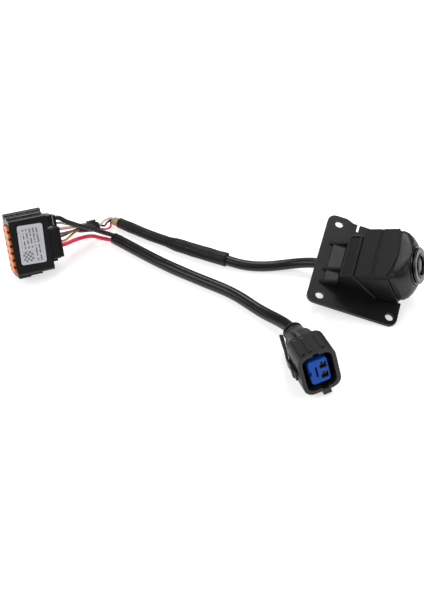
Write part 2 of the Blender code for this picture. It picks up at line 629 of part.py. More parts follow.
def make_retainer(frame):
    """Orange terminal retainer across the module's open end, notched along both long sides."""
    low, high = module_inside(GAP)
    strip = block((-0.9, low[0], low[1]), (RETAINER_T - 0.9, high[0], high[1]), 0.8, "X", 2)
    retainer = place_mesh("module_retainer", strip, frame, "retainer_orange")
    middle = (low[0] + high[0]) / 2
    tools = []
    for i in range(PINS_PER_ROW):
        y = middle + (i - (PINS_PER_ROW - 1) / 2) * PIN_PITCH
        for side, z in enumerate((low[1], high[1])):
            notch = block((-2.0, y - 0.65, z - 1.0), (RETAINER_T, y + 0.65, z + 1.0))
            tools.append(place_mesh(f"cut_notch_{i}_{side}", notch, frame))
    for i, y in pin_rows():
        for side, z in enumerate(pin_columns()):
            hole = block((-2.0, y - 0.7, z - 0.7), (RETAINER_T, y + 0.7, z + 0.7))
            tools.append(place_mesh(f"cut_pin_{i}_{side}", hole, frame))
    combine(retainer, "DIFFERENCE", *tools)
    return retainer


def pin_rows():
    """Numbered pin places up the module."""
    low, high = module_inside()
    middle = (low[0] + high[0]) / 2
    return [(i, middle + (i - (PINS_PER_ROW - 1) / 2) * PIN_PITCH) for i in range(PINS_PER_ROW)]


def pin_columns():
    """Depths of the two pin columns."""
    middle = -MODULE_T / 2
    return [middle - PIN_ROW_PITCH / 2, middle + PIN_ROW_PITCH / 2]


def make_header(name, frame, base_low, base_high, tip):
    """A header block with its pins, standing out to tip."""
    low, high = module_inside(GAP)
    base = block((base_low, low[0], low[1]), (base_high, high[0], high[1]))
    header = place_mesh(name, base, frame, "chip_black")
    inner = base_low + 0.5 if tip > base_high else base_high - 0.5
    pins = []
    for i, y in pin_rows():
        for side, z in enumerate(pin_columns()):
            ends = sorted((inner, tip))
            pin = block((ends[0], y - PIN_W / 2, z - PIN_W / 2), (ends[1], y + PIN_W / 2, z + PIN_W / 2))
            pins.append(place_mesh(f"add_{name}_{i}_{side}", pin, frame))
    combine(header, "UNION", *pins)


def make_module():
    """Case, label, retainer, two headers, board and chip."""
    frame = make_frame("module_frame", MODULE_PLACE, MODULE_TURN, KIT)
    make_module_case(frame)
    make_label(frame)
    make_retainer(frame)
    make_header("outer_header", frame, 6.0, 8.0, 2.6)
    make_header("inner_header", frame, 11.4, 13.2, 16.8)
    low, high = module_inside(GAP + 0.1)
    place_mesh("module_board", block((8.3, low[0], low[1]), (9.5, high[0], high[1])), frame, "board_green")
    middle = (low[0] + high[0]) / 2
    depth = -MODULE_T / 2
    chip = block((9.8, middle - 3.5, depth - 3.5), (11.1, middle + 3.5, depth + 3.5))
    place_mesh("module_chip", chip, frame, "chip_black")
    return frame


def make_harness_plug(frame):
    """Plug pushed into the module: hollow nose, stepped body, rear cover with wire bores and thumb latch."""
    low, high = module_inside(GAP)
    nose = block((PLUG_IN, low[0], low[1]), (MODULE_L - GAP, high[0], high[1]), 0.6, "X", 2)
    plug = place_mesh("plug_housing", nose, frame, "module_black")
    outer = block((MODULE_L - 0.8, PLUG_BOTTOM, -MODULE_T + 1.9), (PLUG_OUT, PLUG_TOP, -1.9), 0.8, "X", 2)
    front = block((MODULE_L + GAP, PLUG_BOTTOM, -MODULE_T + 0.9), (PLUG_OUT, PLUG_TOP, -0.9), 0.8, "X", 2)
    step = block((MODULE_L + GAP, PLUG_BOTTOM - 1.2, -MODULE_T + 2.2), (PLUG_OUT - 1.6, -20.0, -2.2))
    combine(plug, "UNION", place_mesh("add_plug_root", outer, frame),
            place_mesh("add_plug_body", front, frame), place_mesh("add_plug_step", step, frame))
    hollow = block((PLUG_IN - 1, low[0] + 1.1, low[1] + 1.1), (17.8, high[0] - 1.1, high[1] - 1.1))
    seal_bed = block((PLUG_OUT - 2.6, PLUG_BOTTOM + 1.7, -MODULE_T + 2.6),
                     (PLUG_OUT + 1, PLUG_TOP - 1.7, -2.6))
    combine(plug, "DIFFERENCE", place_mesh("cut_plug_hollow", hollow, frame),
            place_mesh("cut_seal_bed", seal_bed, frame))
    seal = block((PLUG_OUT - 2.3, PLUG_BOTTOM + 2.0, -MODULE_T + 2.9), (PLUG_OUT - 0.1, PLUG_TOP - 2.0, -2.9))
    place_mesh("plug_wire_seal", seal, frame, "seal_rubber")
    rear = (PLUG_OUT + GAP, PLUG_OUT + GAP + COVER_T)
    cover = block((rear[0], PLUG_BOTTOM + 0.3, -MODULE_T + 1.2), (rear[1], PLUG_TOP, -1.2), 0.6, "X", 2)
    tower = block((rear[0], PLUG_TOP - 3.0, -MODULE_T + 1.2), (rear[1], -1.4, -5.6), 0.6, "X", 2)
    combine(place_mesh("plug_rear_cover", cover, frame, "module_black"), "UNION",
            place_mesh("add_cover_tower", tower, frame))
    make_latch(frame)


def make_latch(frame):
    """Ribbed thumb latch that rocks about a bar at its front end."""
    low, high = -MODULE_T / 2 - LATCH_W / 2, -MODULE_T / 2 + LATCH_W / 2
    base = PLUG_TOP + LATCH_LIFT
    back = PLUG_OUT - LATCH_LIFT
    pivot = (MODULE_L + 1.0, base + LATCH_T / 2, -MODULE_T / 2)
    arm = block((MODULE_L + 0.4, base, low), (back, base + LATCH_T, high))
    latch = place_mesh("plug_latch", arm, frame, "module_black", pivot)
    pad = place_mesh("add_latch_pad", block((MODULE_L + 1.0, base + 0.4, low), (back, -0.9, high)), frame)
    ribs = []
    for i in range(3):
        x = back - 0.45 - 1.15 * i
        bar = block((x - 0.35, base + LATCH_T, low - 0.4), (x + 0.35, -0.3, high + 0.4))
        ribs.append(place_mesh(f"add_latch_rib_{i}", bar, frame))
    combine(latch, "UNION", pad, *ribs)


# ---------------------------------------------------------------- two-pin plug

def make_power_plug():
    """Hooded two-pin plug with its blue retainer, terminals, seals and lock arm."""
    frame = make_frame("power_plug_frame", PLUG2_PLACE, PLUG2_TURN, KIT)
    total = BARREL_L + HOOD_L
    half_w, half_h = HOOD_W / 2, HOOD_H / 2
    back_w, back_h = BARREL_W / 2, BARREL_H / 2
    barrel = loft([(0.0, back_w - 2.6, back_h - 2.6, 0.0, 2.1), (1.2, back_w - 1.9, back_h - 1.9, 0.0, 2.2),
                   (4.5, back_w - 1.2, back_h - 1.2, 0.0, 2.4), (8.0, back_w, back_h, 0.0, 3.0),
                   (BARREL_L + 1, half_w - 1.2, half_h - 2.4, 0.0, 4.5)], 40)
    housing = place_mesh("power_plug_housing", barrel, frame, "connector_grey")
    side = prism([(ARM_REAR + 0.6, 0.0), (ARM_REAR + 0.6, -ARM_NARROW + 0.6), (BARREL_L + 0.7, -half_w + 1.2),
                  (BARREL_L + 0.7, 0.0)], "Z", -4.4, 4.4, 0.4)
    hood = block((BARREL_L - 0.5, -half_w, -half_h), (total, half_w, half_h), 4.8, "X", 5)
    tab = block((total - 5.0, -0.6, -half_h - TAB_DROP), (total - 0.4, 3.4, -half_h + 1.0))
    rails = []
    for i, (y, foot) in enumerate(((-5.0, 7.0), (-1.6, 7.0), (4.4, BARREL_L + 1.3))):
        outline = [(foot, back_h - 2.0), (foot + 0.8, back_h + 0.5), (BARREL_L + 2.4, half_h + 0.45),
                   (total - 1.5, half_h + 0.45), (total - 1.5, half_h - 1.0)]
        rail = prism(outline, "Y", y - 0.8, y + 0.8)
        rails.append(place_mesh(f"add_top_rail_{i}", rail, frame))
    combine(housing, "UNION", place_mesh("add_hood", hood, frame), place_mesh("add_tab", tab, frame),
            place_mesh("add_side", side, frame), *rails)
    inner_w, inner_h = HOOD_W - 2 * HOOD_WALL, HOOD_H - 2 * HOOD_WALL
    mouth = block((BARREL_L + 1.5, -inner_w / 2, -inner_h / 2),
                  (total + 1, inner_w / 2, inner_h / 2), 3.4, "X", 4)
    key = block((total - 9.0, -1.4, inner_h / 2 - 0.5), (total + 1, 1.4, inner_h / 2 + 1.1))
    low_key = block((total - 9.0, -0.4, -inner_h / 2 - 1.0), (total + 1, 2.6, -inner_h / 2 + 0.5))
    combine(housing, "DIFFERENCE", place_mesh("cut_mouth", mouth, frame), place_mesh("cut_key", key, frame),
            place_mesh("cut_low_key", low_key, frame))
    make_terminal_core(frame, total)
    make_lock_arm(frame, total)
    rear = [(0.0, -1.2), (SLEEVE_R + 2.0, -1.2), (SLEEVE_R + 2.0, -GAP), (0.0, -GAP)]
    place_mesh("rear_seal", turned(rear, (0, 0, 0), (1, 0, 0), 24), frame, "seal_rubber")
    return frame


def socket_places():
    """Heights of the two sockets, above and below the middle."""
    return (-SOCKET_PITCH / 2, SOCKET_PITCH / 2)


def make_terminal_core(frame, total):
    """Core that holds the two terminals, its blue front retainer and the seal round its root."""
    half_w, half_h = CORE_W / 2, CORE_H / 2
    root = BARREL_L + 1.8
    tip = total - TIP_RECESS
    split = tip - 6.0
    core = place_mesh("terminal_core", block((root, -half_w, -half_h), (split, half_w, half_h), 1.2, "X", 3),
                      frame, "connector_grey")
    front = block((split + GAP, -half_w, -half_h), (tip, half_w, half_h), 1.6, "X", 3, 0.25)
    blue = place_mesh("power_plug_retainer", front, frame, "retainer_blue")
    core_cuts, blue_cuts = [], []
    for i, z in enumerate(socket_places()):
        wide = SOCKET_W / 2
        well = block((root + 1.4, SOCKET_Y - wide, z - wide), (total, SOCKET_Y + wide, z + wide))
        core_cuts.append(place_mesh(f"cut_core_well_{i}", well.copy(), frame))
        blue_cuts.append(place_mesh(f"cut_blue_well_{i}", well, frame))
        half = wide - 0.5
        spring = block((root + 1.8, SOCKET_Y - half, z - half), (tip - 1.6, SOCKET_Y + half, z + half))
        terminal = place_mesh(f"terminal_{i + 1}", spring, frame, "terminal_bronze")
        slot = block((tip - 6.0, SOCKET_Y - half + 0.35, z - 0.45), (tip, SOCKET_Y + half - 0.35, z + 0.45))
        combine(terminal, "DIFFERENCE", place_mesh(f"cut_terminal_{i}", slot, frame))
    slit = block((tip - 3.0, -1.7, -2.9), (total, -0.8, 2.9))
    notch = block((tip - 2.0, -half_w - 1, -1.2), (total, -half_w + 0.9, 1.2))
    combine(core, "DIFFERENCE", *core_cuts)
    combine(blue, "DIFFERENCE", *blue_cuts, place_mesh("cut_blue_slit", slit, frame),
            place_mesh("cut_blue_notch", notch, frame))
    seal_w = HOOD_W / 2 - HOOD_WALL - SEAL_CLEAR_W
    seal_h = HOOD_H / 2 - HOOD_WALL - SEAL_CLEAR_H
    band = block((root + 0.3, -seal_w, -seal_h), (root + 2.3, seal_w, seal_h), 1.5, "X", 2)
    seal = place_mesh("core_seal", band, frame, "seal_rubber")
    window = block((root - 1, -half_w - GAP, -half_h - GAP),
                   (root + 4, half_w + GAP, half_h + GAP), 1.2, "X", 2)
    combine(seal, "DIFFERENCE", place_mesh("cut_core_seal", window, frame))


def make_lock_arm(frame, total):
    """Spring lock arm along the left side, rocking about its middle."""
    y = -HOOD_W / 2 - GAP
    bar = [(ARM_REAR, -ARM_NARROW), (ARM_REAR, -ARM_NARROW - 1.3), (BARREL_L, y - 1.3),
           (total - 3.0, y - 1.3), (total - 3.0, y - 0.1), (BARREL_L, y - 0.1)]
    lock = place_mesh("lock_arm", prism(bar, "Z", -2.6, 2.6, 0.2), frame, "connector_grey",
                      (ARM_PIVOT, y - 0.7, 0.0))
    pad = [(ARM_REAR, -ARM_NARROW - 0.8), (ARM_REAR, -ARM_NARROW - 2.0), (ARM_REAR + 4.0, -ARM_NARROW - 2.5),
           (ARM_REAR + 4.0, -ARM_NARROW - 0.8)]
    catch = block((total - 8.0, y - 1.8, -2.6), (total - 5.5, y - 0.5, 2.6))
    combine(lock, "UNION", place_mesh("add_arm_thumb", prism(pad, "Z", -2.9, 2.9), frame),
            place_mesh("add_arm_catch", catch, frame))
    eye = rod(0.9, (ARM_REAR + 2.0, -ARM_NARROW - 4.0, 0.6), (ARM_REAR + 2.0, -ARM_NARROW + 2.0, 0.6), 16)
    combine(lock, "DIFFERENCE", place_mesh("cut_arm_eye", eye, frame))


# ---------------------------------------------------------------- harness

def unit_point(place, turn, spot):
    """A point of a unit's frame in the kit's frame, in millimetres."""
    turned_axes = Euler([math.radians(a) for a in turn]).to_matrix()
    return tuple(Vector(place) + turned_axes @ Vector(spot))


def plug_exit(y, z):
    """Two points that start a wire square to the harness plug's rear cover."""
    face = PLUG_OUT + GAP + COVER_T + GAP
    return [unit_point(MODULE_PLACE, MODULE_TURN, (x, y, z)) for x in (face, face + 2.2)]


def bundle_end(spot, inward, angle, spread):
    """Two points that bring a wire square to a round face, set off from its middle at an angle."""
    along = (Vector(inward) - Vector(spot)).normalized()
    side = along.cross(Vector((0, 0, 1))).normalized()
    lift = side.cross(along)
    turn = math.radians(angle)
    meet = Vector(spot) - along * GAP + (side * math.cos(turn) + lift * math.sin(turn)) * spread
    return [tuple(meet - along * 1.6), tuple(meet)]


def make_harness():
    """Sleeves, cable, tape, foil collar and the single wires."""
    cord("camera_cable", ROUTES["camera_cable"], CABLE_R, "wire_black", 3)
    swell = [(0.0, 1.0), (0.46, 1.0), (0.56, 1.25), (1.0, 1.3)]
    cord("camera_sleeve", ROUTES["camera_sleeve"], 2.8, "sleeve_matte", 3, swell)
    entry = [unit_point(PLUG2_PLACE, PLUG2_TURN, (x, 0, 0)) for x in (-6.0, -1.2 - GAP)]
    cord("power_sleeve", ROUTES["power_sleeve"] + entry, SLEEVE_R, "sleeve_gloss", 3)
    cord("tape_wrap", TAPE, TAPE_R, "sleeve_matte", 2, [(0.0, 0.95), (0.5, 1.0), (1.0, 1.1)])
    cord("foil_collar", COLLAR, COLLAR_RADIUS, "foil_tan", 3)
    for name, (radius, finish, start, turn) in THIN_WIRES.items():
        cord(name, plug_exit(*start) + bundle_end(TAPE[0], TAPE[1], turn, 1.5), radius, finish)
    for name, (radius, finish, start, points) in POWER_WIRES.items():
        cord(name, plug_exit(*start) + points, radius, finish)
    for name, (radius, finish, tape_turn, collar_turn, middle) in LEADS.items():
        start = bundle_end(TAPE[-1], TAPE[-2], tape_turn, 1.3)[::-1]
        cord(name, start + middle + bundle_end(COLLAR[0], COLLAR[1], collar_turn, 1.2), radius, finish)


remove_everything()
MATERIALS = {name: make_finish(name) for name in FINISHES}
KIT = make_frame("kit", KIT_SHIFT)
make_camera_unit()
MODULE = make_module()
make_harness_plug(MODULE)
make_power_plug()
make_harness()
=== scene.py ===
# %% [markdown]
# A reversing-camera kit: a plate-mounted camera, a control module, a two-pin power plug and the
# harness between them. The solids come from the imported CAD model, which stays where it is. This
# script gives every solid its finish, and replaces the plain cords with tubes that have seams,
# lips, wraps and crinkles. It runs top to bottom, one cell at a time.

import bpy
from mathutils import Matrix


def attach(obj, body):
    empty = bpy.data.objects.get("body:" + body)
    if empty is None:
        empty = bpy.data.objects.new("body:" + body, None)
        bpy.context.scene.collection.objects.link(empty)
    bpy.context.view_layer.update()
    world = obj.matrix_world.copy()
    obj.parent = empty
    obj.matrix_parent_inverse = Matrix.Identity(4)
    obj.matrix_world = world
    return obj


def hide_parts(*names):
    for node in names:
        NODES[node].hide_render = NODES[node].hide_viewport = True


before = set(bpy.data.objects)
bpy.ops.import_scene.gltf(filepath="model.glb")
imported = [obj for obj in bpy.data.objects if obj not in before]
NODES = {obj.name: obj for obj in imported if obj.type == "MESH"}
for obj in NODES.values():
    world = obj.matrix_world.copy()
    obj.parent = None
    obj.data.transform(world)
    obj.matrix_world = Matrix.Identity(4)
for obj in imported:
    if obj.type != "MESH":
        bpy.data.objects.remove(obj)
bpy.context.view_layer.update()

# %% Modules and units
import math

import bmesh
import bpy
from mathutils import Euler, Matrix, Vector, noise

MM = 0.001
KIT = "kit"
MODULE_FRAME = Matrix.LocRotScale(
    Vector((-99.8, 10.7, 32.0)) * MM, Euler([math.radians(a) for a in (59.5, 4.8, 23.8)]), None)
PLUG_FRAME = Matrix.LocRotScale(
    Vector((39.4, -39.7, 7.4)) * MM, Euler([math.radians(a) for a in (11.0, -13.5, -73.5)]), None)
PLATE_FRAME = Matrix.LocRotScale(
    Vector((76.0, -0.5, 10.2)) * MM, Euler([math.radians(a) for a in (14.6, 11.0, -14.1)]), None)
BODY_TILT = math.radians(31.0)
BODY_ROOT = Vector((-6.0, 0.0, 15.2)) * MM
BODY_FRAME = PLATE_FRAME @ Matrix.Translation(BODY_ROOT) @ Matrix.Rotation(-BODY_TILT, 4, "Y")

# %% [markdown]
# The view comes first, because the cords are measured against what it sees. A long lens half a
# metre away, looking down at 45 degrees, keeps the units' proportions close to a catalogue picture.

# %% Camera
VIEW_TARGET = Vector((0.0006, -0.0106, 0.0))
VIEW_DISTANCE = 0.5
VIEW_ELEVATION = math.radians(45.0)
VIEW_LENS = 60.0
VIEW_SENSOR = 36.0
VIEW_NEAR = 0.01
view = bpy.data.objects.new("studio_view", bpy.data.cameras.new("studio_view"))
bpy.context.scene.collection.objects.link(view)
view.data.lens = VIEW_LENS
view.data.sensor_width = VIEW_SENSOR
view.data.clip_start = VIEW_NEAR
toward = Vector((0.0, -math.cos(VIEW_ELEVATION), math.sin(VIEW_ELEVATION)))
view.location = VIEW_TARGET + VIEW_DISTANCE * toward
view.rotation_euler = (math.pi / 2 - VIEW_ELEVATION, 0.0, 0.0)
bpy.context.scene.camera = view
print("view from", tuple(round(v, 3) for v in view.location))

# %% [markdown]
# Shader nodes are easier to read when a formula is one line. These helpers add a node, set its
# options and wire it up. A value that is a socket is linked, and a plain number is typed in.

# %% Node helpers
def put(tree, kind, inputs=None, **settings):
    """Add a shader node, set its options, and link or fill its inputs."""
    node = tree.nodes.new("ShaderNode" + kind)
    for key, value in settings.items():
        setattr(node, key, value)
    for key, value in (inputs or {}).items():
        fill(tree, node.inputs[key], value)
    return node


def fill(tree, socket, value):
    """Link a socket to a socket, or give it a plain value."""
    if isinstance(value, bpy.types.NodeSocket):
        tree.links.new(value, socket)
    else:
        socket.default_value = value


def calc(tree, operation, a, b=0.0, c=0.0):
    """One Math node; returns its output."""
    node = put(tree, "Math", {0: a, 1: b, 2: c}, operation=operation)
    return node.outputs[0]


def blend_colour(tree, share, first, second):
    """Mix two colours by a share; returns the result."""
    node = put(tree, "Mix", data_type="RGBA")
    fill(tree, node.inputs[0], share)
    fill(tree, node.inputs[6], first)
    fill(tree, node.inputs[7], second)
    return node.outputs[2]


def remap(tree, value, low, high, to_low, to_high):
    """Stretch a range to another, clamped; returns the result."""
    inputs = {"Value": value, "From Min": low, "From Max": high, "To Min": to_low, "To Max": to_high}
    return put(tree, "MapRange", inputs).outputs["Result"]


def start_group(name, inputs, outputs):
    """A node group with named sockets; returns its tree, its input node and its output node."""
    tree = bpy.data.node_groups.new(name, "ShaderNodeTree")
    for label, value in inputs.items():
        socket = tree.interface.new_socket(name=label, in_out="INPUT", socket_type="NodeSocketFloat")
        socket.default_value = value
    for label, kind in outputs.items():
        tree.interface.new_socket(name=label, in_out="OUTPUT", socket_type="NodeSocket" + kind)
    return tree, tree.nodes.new("NodeGroupInput"), tree.nodes.new("NodeGroupOutput")


# %% [markdown]
# Moulded plastic is never smooth: the steel mould leaves a fine grain, and handling leaves duller
# and shinier patches. Object coordinates keep the grain the same size on large and small pieces.

# %% Group: moulded grain
MM_PER_M = 1000.0
PEBBLE_SHARE = 0.5
PATCH_CONTRAST = (0.3, 0.7)


def make_grain_group():
    """Tone is the fine grain, Patch is the broad variation and Height is for the bump."""
    tree, given, made = start_group(
        "moulded_grain", {"Grain mm": 0.4, "Patch mm": 9.0},
        {"Tone": "Float", "Patch": "Float", "Height": "Float"})
    place = put(tree, "TexCoord").outputs["Object"]
    per_grain = calc(tree, "DIVIDE", MM_PER_M, given.outputs["Grain mm"])
    per_patch = calc(tree, "DIVIDE", MM_PER_M, given.outputs["Patch mm"])
    fine = put(tree, "TexNoise",
               {"Vector": place, "Scale": per_grain, "Detail": 3.0, "Roughness": 0.6})
    cells = put(tree, "TexVoronoi", {"Vector": place, "Scale": per_grain})
    broad = put(tree, "TexNoise", {"Vector": place, "Scale": per_patch, "Detail": 2.0})
    pebbles = calc(tree, "MULTIPLY", cells.outputs["Distance"], PEBBLE_SHARE)
    fill(tree, made.inputs["Tone"], fine.outputs["Fac"])
    fill(tree, made.inputs["Patch"],
         remap(tree, broad.outputs["Fac"], *PATCH_CONTRAST, 0.0, 1.0))
    fill(tree, made.inputs["Height"], calc(tree, "ADD", fine.outputs["Fac"], pebbles))
    return tree


GRAIN = make_grain_group()
print("group", GRAIN.name)

# %% [markdown]
# No moulded or cut edge is perfectly sharp. The Bevel node rounds the shading along each edge, and
# where its normal leans away from the face's own normal there is an edge: that difference is the
# mask for the slight polish and paler plastic that handling leaves there.

# %% Group: edge wear
BEVEL_SAMPLES = 6
EDGE_LEAN = (0.995, 0.8)
CHIP_SCALE = 420.0
CHIP_CONTRAST = (0.4, 0.62)


def make_edge_group():
    """Normal is the rounded shading normal and Mask is where an edge is worn."""
    tree, given, made = start_group(
        "edge_wear", {"Radius mm": 0.25, "Amount": 0.5}, {"Normal": "Vector", "Mask": "Float"})
    radius = calc(tree, "MULTIPLY", given.outputs["Radius mm"], MM)
    rounded = put(tree, "Bevel", {"Radius": radius}, samples=BEVEL_SAMPLES)
    true = put(tree, "NewGeometry").outputs["Normal"]
    lean = put(tree, "VectorMath", {0: rounded.outputs[0], 1: true}, operation="DOT_PRODUCT")
    edge = remap(tree, lean.outputs["Value"], *EDGE_LEAN, 0.0, 1.0)
    place = put(tree, "TexCoord").outputs["Object"]
    patchy = put(tree, "TexNoise", {"Vector": place, "Scale": CHIP_SCALE, "Detail": 4.0})
    broken = remap(tree, patchy.outputs["Fac"], *CHIP_CONTRAST, 0.0, 1.0)
    worn = calc(tree, "MULTIPLY", calc(tree, "MULTIPLY", edge, broken), given.outputs["Amount"])
    fill(tree, made.inputs["Normal"], rounded.outputs[0])
    fill(tree, made.inputs["Mask"], worn)
    return tree


EDGE = make_edge_group()
print("group", EDGE.name)

# %% [markdown]
# Every solid finish is then one call: a base colour, a second colour for worn edges, a roughness
# range, and the grain's size and depth. The Principled shader stays in the material itself, and
# values that don't vary, such as the coat, are typed on its own sockets.

# %% Solid finishes
TONE_SWING = (0.82, 1.2)
ROUGH_SWING = (-0.05, 0.06)
EDGE_POLISH = 0.12


def group_node(tree, group, inputs):
    """Place a shared group in a material."""
    node = tree.nodes.new("ShaderNodeGroup")
    node.node_tree = group
    for key, value in inputs.items():
        fill(tree, node.inputs[key], value)
    return node


def start_material(name, **fixed):
    """A node material with one Principled shader; fixed values go straight on its sockets."""
    material = bpy.data.materials.new(name)
    material.use_nodes = True
    shader = material.node_tree.nodes["Principled BSDF"]
    for key, value in fixed.items():
        shader.inputs[key.replace("_", " ").title().replace("Ior", "IOR")].default_value = value
    return material, material.node_tree, shader


def shade(colour, factor):
    """A colour made lighter or darker, with alpha."""
    return (*[min(1.0, c * factor) for c in colour], 1.0)


def moulded(name, colour, rough, grain=0.4, depth=0.02, edge=0.25, wear=0.35, paler=2.2, **fixed):
    """Plastic, rubber or metal with grain, patches and softened, worn edges."""
    material, tree, shader = start_material(name, **fixed)
    grains = group_node(tree, GRAIN, {"Grain mm": grain})
    edges = group_node(tree, EDGE, {"Radius mm": edge, "Amount": wear})
    toned = blend_colour(tree, grains.outputs["Tone"], *[shade(colour, f) for f in TONE_SWING])
    fill(tree, shader.inputs["Base Color"],
         blend_colour(tree, edges.outputs["Mask"], toned, shade(colour, paler)))
    patch = remap(tree, grains.outputs["Patch"], 0.0, 1.0, *[rough + swing for swing in ROUGH_SWING])
    polished = calc(tree, "MULTIPLY", edges.outputs["Mask"], EDGE_POLISH)
    fill(tree, shader.inputs["Roughness"], calc(tree, "SUBTRACT", patch, polished))
    bump = put(tree, "Bump", {"Height": grains.outputs["Height"], "Distance": depth * MM,
                              "Strength": 1.0, "Normal": edges.outputs["Normal"]})
    fill(tree, shader.inputs["Normal"], bump.outputs["Normal"])
    return material


FINISH = {
    "housing_black": moulded("housing_black", (0.0048, 0.0048, 0.0056), 0.4, grain=0.35, depth=0.03,
                             specular_ior_level=0.33),
    "plate_black": moulded("plate_black", (0.004, 0.004, 0.005), 0.44, grain=0.3, depth=0.02,
                           specular_ior_level=0.35),
    "pad_black": moulded("pad_black", (0.0056, 0.006, 0.0075), 0.5, grain=0.28, depth=0.035,
                         specular_ior_level=0.32),
    "lens_black": moulded("lens_black", (0.004, 0.004, 0.0045), 0.2, grain=0.3, depth=0.006),
    "module_black": moulded("module_black", (0.0035, 0.0035, 0.004), 0.3, grain=0.35, depth=0.012,
                            edge=0.35, wear=0.3, paler=1.8, specular_ior_level=0.4),
    "retainer_orange": moulded("retainer_orange", (0.88, 0.2, 0.015), 0.4, grain=0.5, depth=0.01,
                               edge=0.15, wear=0.2, paler=1.2),
    "connector_grey": moulded("connector_grey", (0.014, 0.0125, 0.012), 0.42, grain=0.4, depth=0.02,
                              edge=0.3, wear=0.5, paler=2.2, specular_ior_level=0.35),
    "retainer_blue": moulded("retainer_blue", (0.0005, 0.066, 0.4), 0.42, grain=0.5, depth=0.01,
                             edge=0.2, wear=0.2, paler=1.3, specular_ior_level=0.2),
    "terminal_bronze": moulded("terminal_bronze", (0.3, 0.19, 0.1), 0.34, grain=0.2, depth=0.004,
                               edge=0.08, wear=0.2, paler=1.3, metallic=1.0),
    "board_green": moulded("board_green", (0.01, 0.09, 0.035), 0.4, grain=0.3, depth=0.008),
    "chip_black": moulded("chip_black", (0.01, 0.01, 0.01), 0.55, grain=0.15, depth=0.008),
    "seal_rubber": moulded("seal_rubber", (0.012, 0.012, 0.012), 0.7, grain=0.5, depth=0.03),
}
print(len(FINISH), "moulded finishes")

# %% [markdown]
# The lens is coated glass. Its tint, coat and transmission are the same everywhere, so they are
# plain values; only the roughness varies, where fingers leave a faint smear.

# %% Glass
SMEAR_ROUGHNESS = (0.02, 0.09)


def make_glass():
    material, tree, shader = start_material(
        "lens_glass", base_color=(0.05, 0.06, 0.05, 1.0), transmission_weight=0.15, ior=1.5,
        specular_ior_level=0.14, coat_weight=0.05, coat_roughness=0.08)
    grains = group_node(tree, GRAIN, {"Grain mm": 1.0, "Patch mm": 3.0})
    fill(tree, shader.inputs["Roughness"],
         remap(tree, grains.outputs["Patch"], 0.0, 1.0, *SMEAR_ROUGHNESS))
    return material


FINISH["lens_glass"] = make_glass()

# %% [markdown]
# The label is grey print stock. A real one carries lettering and a code block; here short plain
# bars and a check patch stand in for them, so nothing can be read. A Mapping node turns Object
# coordinates into the module's own frame, in millimetres, so that the bars sit square on the face.

# %% Label
LABEL_STOCK = (0.58, 0.58, 0.62, 1.0)
LABEL_INK = (0.06, 0.06, 0.07, 1.0)
LABEL_ROUGHNESS = (0.38, 0.5)
LABEL_GRAIN_DEPTH = 0.004
LABEL_PATCH_TONE = 0.93
ROW_PITCH = 1.75
BAR_FROM, BAR_TO = 0.3, 0.72
BREAKS_PER_MM = 0.75
BREAK_LEVEL = 0.46
CHECK_SCALE = 0.95
INK_STRENGTH = 0.8
CHECK_BOX = (4.3, 9.6, -21.0, -15.6)
BAR_BOX = (4.6, 14.6, -14.4, -4.4)
SIDE_BOX = (10.6, 14.6, -21.4, -14.4)


def inside(tree, x, y, box):
    """1 inside a rectangle and 0 outside it."""
    low_x, high_x, low_y, high_y = box
    tests = [calc(tree, "GREATER_THAN", x, low_x), calc(tree, "LESS_THAN", x, high_x),
             calc(tree, "GREATER_THAN", y, low_y), calc(tree, "LESS_THAN", y, high_y)]
    result = tests[0]
    for test in tests[1:]:
        result = calc(tree, "MULTIPLY", result, test)
    return result


